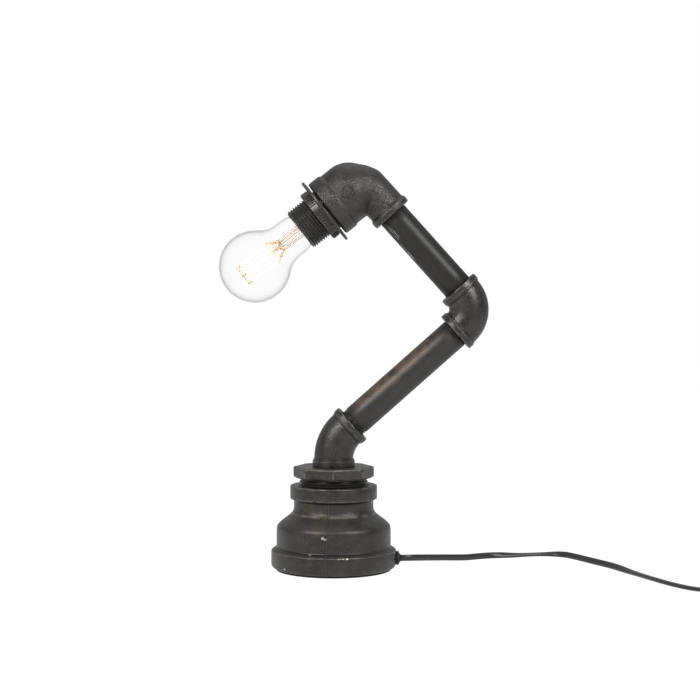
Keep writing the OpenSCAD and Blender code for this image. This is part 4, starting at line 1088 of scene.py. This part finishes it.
dot_metal = clouded("end_dot_metal", (0.001, 2), (0.48, 0.33, 0.10), (0.78, 0.62, 0.28), (0.4, 0.2),
                    Metallic=0.3)
end_places = [beside(r, a, far_end + 0.6) for r in (far_r, 5.3, 2.6) for a in (0, 180, 90, 270)]
dress(blobs("filament_end_dots", end_places, 0.75), "bulb", "wire", dot_metal)
tab_phosphor = clouded("yellow_tab_phosphor", (0.0012, 2), (0.72, 0.66, 0.16), (0.92, 0.88, 0.48),
                       (0.4, 0.2))
dress(blobs("filament_tabs", [beside(near_r, a, near_end + 0.9) for a in quarters], 1.25),
      "bulb", "filament", tab_phosphor)


# ---- Screw cap and holder's inner parts ----
# Inside the sleeve: the bulb's nickel-plated screw cap with its black glass bottom
# and solder contact, and the holder's brass shell, contacts, screws and steatite core.
nickel = clouded("nickel_plate", (0.004, 4), (0.56, 0.55, 0.52), (0.70, 0.69, 0.66), (0.24, 0.16),
                 (0.0008, 3, 0.00003), Metallic=1.0)
brass = clouded("dull_brass", (0.004, 4), (0.46, 0.33, 0.13), (0.66, 0.50, 0.24), (0.30, 0.2),
                (0.0008, 3, 0.00003), Metallic=1.0)
steatite = clouded("white_steatite", (0.003, 4), (0.62, 0.60, 0.54), (0.74, 0.72, 0.67), (0.45, 0.2),
                   [0.0001])
black_glass = clouded("black_cap_glass", (0.002, 3), (0.008, 0.008, 0.01), (0.02, 0.02, 0.024), (0.1, 0.1))
cap_pitch = 3.62
cap_turns = 4
sheet_metal = 0.35
cap_rings = [(9.1, 4.9), (11.7, 6.5)]
for i in range(cap_turns):
    z = 6.5 + i * cap_pitch
    cap_rings += [(12.1, z + 0.18), (12.35, z + 0.5), (12.8, z + 1.1), (13.06, z + 1.6), (13.1, z + 1.85),
                  (13.06, z + 2.1), (12.8, z + 2.55), (12.35, z + 3.15), (12.12, z + 3.5)]
cap_rings += [(12.1, 21.2), (12.5, 22.4), (12.75, 23), (13.0, 24.5), (13.5, 26.2), (13.8, 27)]
cap_rings += [(r - sheet_metal, z) for r, z in reversed(cap_rings)] + [cap_rings[0]]
dress(holder_piece("bulb_screw_cap", cap_rings), "bulb", "nickel", nickel, "bulb_cap")


def coat(material, *nodes):
    for node in nodes:
        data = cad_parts[node].data
        data.materials.clear()
        data.materials.append(material.data)


coat(nickel, "cap_contact", "terminal_screws")
coat(brass, "screw_shell", "centre_contact", "side_contact")
coat(black_glass, "cap_insulator")
coat(steatite, "holder_insulator")
coat(phenolic, "holder_cap")


# ---- Nipple, and the flex up the arm ----
# A short threaded nipple joins bushing and elbow. The same flat flex runs on through
# the pipes to the lampholder, its broad side across the arm, bending in the elbows.
coat(pipe_finish, "close_nipple")
flex_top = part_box("cable_in_base")[1].z
arm_split = 17.4
head_split = 118.7
holder_entry = 20.3
cut_gap = 0.15


# Flex through an elbow's bend, from a place on one straight run to one on the other.
def flex_run(name, body, node, start, bend, end):
    run = [start * MM] + [p * MM for p, lean in bend] + [end * MM]
    piece = cord_mesh(name, smooth_line(run, 4), cord_outline(), lambda along: 0, True)
    dress(piece, body, "cord_pvc", black_pvc, node)


flex_run("flex_in_lower_elbow", "lower_elbow", "cable_in_elbow",
         Vector((0, 0, flex_top / MM + 2 * cut_gap)),
         bend_centres(corner_low, 0, lower_lean, bend_reach(shallow_face), 5),
         corner_low + (arm_split - cut_gap) * way(lower_lean))
flex_run("flex_in_arm", "arm", "cable_in_arm",
         corner_low + (arm_split + cut_gap) * way(lower_lean),
         bend_centres(corner_mid, lower_lean, upper_lean, bend_reach(square_face), 8),
         corner_mid + (head_split - cut_gap) * way(upper_lean))
flex_run("flex_in_head", "head", "cable_in_head",
         corner_mid + (head_split + cut_gap) * way(upper_lean),
         bend_centres(corner_top, upper_lean, mouth_lean, 9 * tan(abs(mouth_lean - upper_lean) / 2), 6),
         mouth_centre - holder_entry * way(mouth_lean))


# ---- Pad ----
# A disc of black foam rubber stuck under the foot, cut a little smaller than the
# band, so only its edge peeks out.
pad_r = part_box("base_pad")[1].x / MM
pad_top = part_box("base_pad")[1].z / MM
pad = drawn("foam_rubber_pad", turned(
    [(0, 0), (pad_r - 0.5, 0), (pad_r - 0.1, 0.3), (pad_r, pad_top / 2), (pad_r - 0.1, pad_top - 0.2),
     (pad_r - 0.3, pad_top), (0, pad_top)]), 128)
foam = clouded("black_foam_rubber", (0.0005, 3, 0.7), (0.008, 0.008, 0.008), (0.025, 0.025, 0.026),
               (0.78, 0.15), [0.0002])
dress(pad, "base", "pad", foam, "base_pad")


# ---- Grommet and the flex in the foot ----
# A black rubber bush in the foot's cord hole: a rounded flange outside, a neck through
# the wall and a smaller lip inside, with an upright slot that the flat flex passes on
# edge. Inside, the flex turns flat on its way up to the arm.
face = grommet_face / MM
grommet_outline = (
    [(0, face), (3.5, face)] + corner(3.4, face - 0.6, 0.6, 90, 0, 3) + [(4.1, 57.9)]
    + corner(5.3, 56.5, 0.9, 90, 0)
    + [(6.2, 55.4), (5.9, 55.0), (4.95, 55.0), (4.95, 43.6), (6.1, 43.4), (6.2, 42.6), (5.7, 41.0),
       (4.8, 40.85), (0, 40.85)])
grommet = drawn("rubber_grommet", turned(grommet_outline, Vector((0, 0, hole_height)), pi / 2), 64)


# A block cut to an outline in millimetres and so many thick, then set down by a matrix.
# A rounding bevels its sharp edges.
def cut_block(name, outline, thick, place, rounding=0, segments=4):
    deselect()
    bpy.ops.mesh.primitive_circle_add(vertices=len(outline), fill_type="NGON")
    block = bpy.context.object
    block.name = block.data.name = name
    for vertex, (x, y) in zip(block.data.vertices, outline):
        vertex.co = (x * MM, y * MM, 0)
    bpy.ops.object.mode_set(mode="EDIT")
    bpy.ops.mesh.select_all(action="SELECT")
    bpy.ops.mesh.extrude_region_move(TRANSFORM_OT_translate={"value": (0, 0, thick * MM)})
    bpy.ops.mesh.select_all(action="SELECT")
    bpy.ops.mesh.normals_make_consistent(inside=False)
    bpy.ops.object.mode_set(mode="OBJECT")
    if rounding:
        modifier(block, "BEVEL", width=rounding * MM, segments=segments, limit_method="ANGLE",
                 angle_limit=radians(40))
    block.data.transform(place)
    if place.determinant() < 0:
        block.data.flip_normals()
    smoothed(block, 40)
    return block


# An outline with round ends: half its length between centres, and its end radius.
def round_ended(half, radius, count=16):
    return corner(half, 0, radius, -90, 90, count) + corner(-half, 0, radius, 90, 270, count)


def oblong(wide, deep):
    return [(-wide / 2, -deep / 2), (wide / 2, -deep / 2), (wide / 2, deep / 2), (-wide / 2, deep / 2)]


# A block cut out of a piece, and one fused on to it.
def bored(piece, *shape):
    cut_out(piece, cut_block("bore", *shape))


def grown(piece, *shape):
    cut_out(piece, cut_block("growth", *shape), "UNION")


def shift(x, y, z):
    return Matrix.Translation(Vector((x, y, z)) * MM)


along_cord = Matrix.Rotation(pi / 2, 4, "Y")
bored(grommet, round_ended(1.25, 1.85), 45, shift(30, 0, hole_height) @ along_cord)
rubber = clouded("black_rubber", (0.003, 3), (0.008, 0.008, 0.008), (0.018, 0.018, 0.018), (0.5, 0.15),
                 (0.0006, 3, 0.00005))
dress(grommet, "base", "black_plastic", rubber, "cord_grommet")

foot_route = [Vector((x, 0, z)) * MM for x, z in (
    (face, hole_height), (50, hole_height), (40, hole_height), (33, hole_height), (26, 11.8),
    (19, 17.5), (12.5, 26), (7, 38), (2, 52), (0, 64), (0, 80), (0, flex_top / MM))]
foot_flex = cord_mesh("flex_in_foot", smooth_line(foot_route, 4), cord_outline(),
                      lambda along: 0.25 * (1 - ease((along - 0.026) / 0.03)), True)
dress(foot_flex, "base", "cord_pvc", black_pvc, "cable_in_base")

# A nylon tie drawn tight round the flex behind the grommet, its head to one side,
# keeps a pull on the cord from reaching the holder.
tie_at = shift(35.45, 0, hole_height) @ along_cord
tie = cut_block("nylon_tie", round_ended(1.1, 2.75), 3.6, tie_at, 0.35, 2)
grown(tie, oblong(4.6, 3.4), 3.4, tie_at @ shift(0, 4.0, 0.1), 0.4, 2)
grown(tie, oblong(2.4, 1.1), 2.6, tie_at @ shift(2.6, 4.2, 0.5), 0.2, 2)
bored(tie, round_ended(1.15, 1.8), 9, tie_at @ shift(0, 0, -2))
smoothed(tie, 35)
nylon = clouded("natural_nylon", (0.003, 3), (0.62, 0.60, 0.53), (0.74, 0.72, 0.65), (0.4, 0.15),
                (0.001, 2, 0.00004))
dress(tie, "base", "tie_white", nylon, "cable_tie")


# ---- Switch on the cord ----
# A rocker switch moulded in two halves of black phenolic that close on the flex,
# held by two sunk steel screws, with a dished red rocker between two ears.
switch_x, switch_y = 368, -132
switch_at = shift(switch_x, switch_y, 0)
switch_half = 9.5
switch_reach = 18.5
switch_end = 12.5
shell = 2.0
pivot_z = 16.6
tunnel = shift(320, switch_y, switch_half) @ along_cord @ Matrix.Rotation(pi / 2, 4, "Z")
across = Matrix.Rotation(pi / 2, 4, "X")


# One half of the case: rounded outside, hollow inside, open at the seam.
def case_half(name, side):
    flip = Matrix.Scale(side, 4, (0, 0, 1))
    half = cut_block(name, round_ended(switch_reach, switch_end, 24), switch_half,
                     switch_at @ shift(0, 0, switch_half) @ flip)
    select_only(half)
    end = (switch_half + side * switch_half) * MM
    for part in (half.data.vertices, half.data.edges, half.data.polygons):
        part.foreach_set("select", [False] * len(part))
    for edge in half.data.edges:
        edge.select = all(abs(half.data.vertices[i].co.z - end) < one_point for i in edge.vertices)
    bpy.ops.object.mode_set(mode="EDIT")
    bpy.ops.mesh.select_mode(type="EDGE")
    bpy.ops.mesh.bevel(offset=2.4 * MM, segments=6, affect="EDGES")
    bpy.ops.mesh.select_all(action="SELECT")
    bpy.ops.mesh.normals_make_consistent(inside=False)
    bpy.ops.object.mode_set(mode="OBJECT")
    bored(half, round_ended(switch_reach, switch_end - shell, 24), switch_half - shell + 1,
          switch_at @ shift(0, 0, switch_half - side) @ flip)
    bored(half, round_ended(1.3, 2.0), 100, tunnel)
    return half


def level(x, y, z):
    return switch_at @ shift(x, y, z)


post_places = ((22, -7.2), (-22, 7.2))
base_half = case_half("switch_lower_half", -1)
cover_half = case_half("switch_upper_half", 1)
for x, y in post_places:
    grown(base_half, round_ended(0, 2.6), switch_half - 1.8, level(x, y, 1.8))
    grown(cover_half, round_ended(0, 2.6), switch_half - 1.8, level(x, y, switch_half))
    bored(base_half, round_ended(0, 0.9), 12, level(x, y, 2.5))
    bored(cover_half, round_ended(0, 1.6), 30, level(x, y, 5))
    bored(cover_half, round_ended(0, 2.9), 5, level(x, y, 17.4))
bored(cover_half, oblong(16.6, 9.6), 12, level(0, 0, 11.5), 0.3, 2)
for side in (-1, 1):
    ear = cut_block("ear", oblong(5.2, 3.6), 1.8, level(0, side * 5.7 + 0.9, 15.8) @ across)
    bored(ear, round_ended(0, 1.2), 6, level(0, side * 5.7 + 3, pivot_z) @ across)
    cut_out(cover_half, ear, "UNION")
for half, node in ((base_half, "switch_base"), (cover_half, "switch_cover")):
    smoothed(half, 35)
    dress(half, "base", "black_plastic", phenolic, node)

dish_r = 26
dished = [(x, 2.4 + dish_r - sqrt(dish_r ** 2 - x * x)) for x in (-7.1, *range(-6, 7), 7.1)]
rocker_outline = dished + [
    (7.75, 1.6), (7.9, 0.4), (7.8, -1), (7.3, -3), (-7.3, -3), (-7.8, -1), (-7.9, 0.4), (-7.75, 1.6)]
rocker = cut_block("rocker", rocker_outline, 9, level(0, 4.5, pivot_z) @ across, 0.35, 3)
grown(rocker, round_ended(0, 1.15), 13.2, level(0, 6.6, pivot_z) @ across)
smoothed(rocker, 35)
red_plastic = clouded("red_moulded_plastic", (0.005, 3), (0.30, 0.012, 0.008), (0.38, 0.02, 0.014),
                      (0.26, 0.1), (0.001, 2, 0.00003))
dress(rocker, "rocker", "rocker_red", red_plastic, "switch_rocker")

screws = []
for x, y in post_places:
    screw = drawn("switch_screw", turned(
        [(0, 3), (0.5, 3.1), (0.85, 3.8), (0.85, 17.4), (2.3, 17.4), (2.6, 17.7), (2.6, 18.1), (2.3, 18.5),
         (1.4, 18.75), (0, 18.8)], Vector((switch_x + x, switch_y + y, 0))), 40)
    for turn in (25, 115):
        bored(screw, oblong(2.9, 0.6), 3, level(x, y, 17.9) @ Matrix.Rotation(radians(turn), 4, "Z"))
    screws.append(screw)
switch_screws = joined(screws)
dress(switch_screws, "base", "nickel", nickel, "switch_screws")
coat(brass, "switch_contacts")


# ---- Plug ----
# A flat two-pin plug moulded on the flex in black PVC: a six-sided body with finger
# grooves, a ribbed tapered neck, and round nickel pins sleeved in plastic at their roots.
plug_top = 13.7
body_end = 56
pin_half = 9.3
sleeve_end = 10
plug_place = shift(430, body_end, 0) @ Matrix.Rotation(-pi / 2, 4, "Z")
plug_outline = [(0, -15.5), (1.5, -17), (21.6, -17), (36, -6.5), (36, 6.5), (21.6, 17), (1.5, 17),
                (0, 15.5)]
plug = cut_block("plug_moulding", plug_outline, plug_top, plug_place, 1.6, 5)
for i in range(5):
    for z in (-0.6, plug_top - 0.5):
        bored(plug, oblong(1.1, 13 - i), 1.1, plug_place @ shift(23 + 2.6 * i, 0, z), 0.3, 2)
neck_outline = [(0, 34.5), (5.6, 34.5)]
for i in range(6):
    x = 37.2 + i * 3.0
    r = 5.6 - 1.8 * (x - 36) / 20
    neck_outline += [(r, x - 0.9), (r, x + 0.7), (r - 0.75, x + 1.0), (r - 0.75, x + 1.8)]
neck_outline += [(3.9, 55.0), (3.8, 55.6), (3.3, 56), (0, 56)]
neck = drawn("plug_neck", turned(neck_outline, Vector((0, 0, plug_top / 2)), pi / 2), 48)
neck.data.transform(plug_place)
cut_out(plug, neck, "UNION")
pin_outline = [(0, -19), (0.9, -18.9), (1.5, -18.5), (1.9, -17.6), (1.95, -17), (1.95, -10.1),
               (1.8, -sleeve_end), (1.8, -0.4), (1.95, -0.2), (1.95, 12), (0, 12)]
pins = []
for side in (-1, 1):
    bored(plug, round_ended(0, 2.0), 13, plug_place @ shift(-1, side * pin_half, plug_top / 2) @ along_cord)
    pin = drawn("plug_pin", turned(pin_outline, Vector((0, side * pin_half, plug_top / 2)), pi / 2), 32)
    pin.data.transform(plug_place)
    pins.append(pin)
smoothed(plug, 35)
dress(plug, "base", "black_plastic", black_pvc, "plug_body")
plug_pins = joined(pins)
pin_metal = Finish("sleeved_nickel_pin")
pin_cloud = pin_metal.noise(0.003, 3)
past_sleeve = body_end + sleeve_end
bare = pin_metal.axes(pin_metal.place)[1].step((past_sleeve - 0.05) * MM, (past_sleeve + 0.05) * MM)
plating = pin_metal.mix(pin_cloud, (0.58, 0.57, 0.54), (0.70, 0.69, 0.66))
pin_metal.set(
    Base_Color=pin_metal.mix(bare, (0.012, 0.012, 0.012), plating), Metallic=bare,
    Roughness=0.24 + pin_cloud * 0.16)
dress(plug_pins, "base", "nickel", pin_metal, "plug_pins")


# ---- Coil tie ----
# A strap of black hook-and-loop tape, a centimetre wide, closed round the wound-up
# turns.
tie_low, tie_high = (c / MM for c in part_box("coil_tie"))
middle = (tie_low + tie_high) / 2
wide = tie_high.x - tie_low.x
tall = tie_high.z - tie_low.z
tape = 0.7
strap_place = shift(*middle) @ across @ shift(0, 0, -5)


def rounded_oblong(wide, tall, radius, count=6):
    outline = []
    for sx, sy, first in ((1, -1, -90), (1, 1, 0), (-1, 1, 90), (-1, -1, 180)):
        outline += corner(sx * (wide / 2 - radius), sy * (tall / 2 - radius), radius, first, first + 90, count)
    return outline


strap = cut_block("strap", rounded_oblong(wide, tall, 2.0), 10, strap_place, 0.2, 2)
bored(strap, rounded_oblong(wide - 2 * tape, tall - 2 * tape, 1.4), 30, strap_place @ shift(0, 0, -10))
smoothed(strap, 35)
loop_tape = Finish("black_loop_tape")
loops = loop_tape.noise(0.0006, 4, 0.7)
loop_tape.set(
    Base_Color=loop_tape.mix(loops.step(0.4, 0.65), (0.006, 0.006, 0.007), (0.03, 0.03, 0.032)),
    Roughness=0.8 + loops * 0.15, Normal=loop_tape.bump(loops, 0.0004))
dress(strap, "base", "black_plastic", loop_tape, "coil_tie")


# ---- View transform ----
bpy.context.scene.view_settings.view_transform = "Standard"
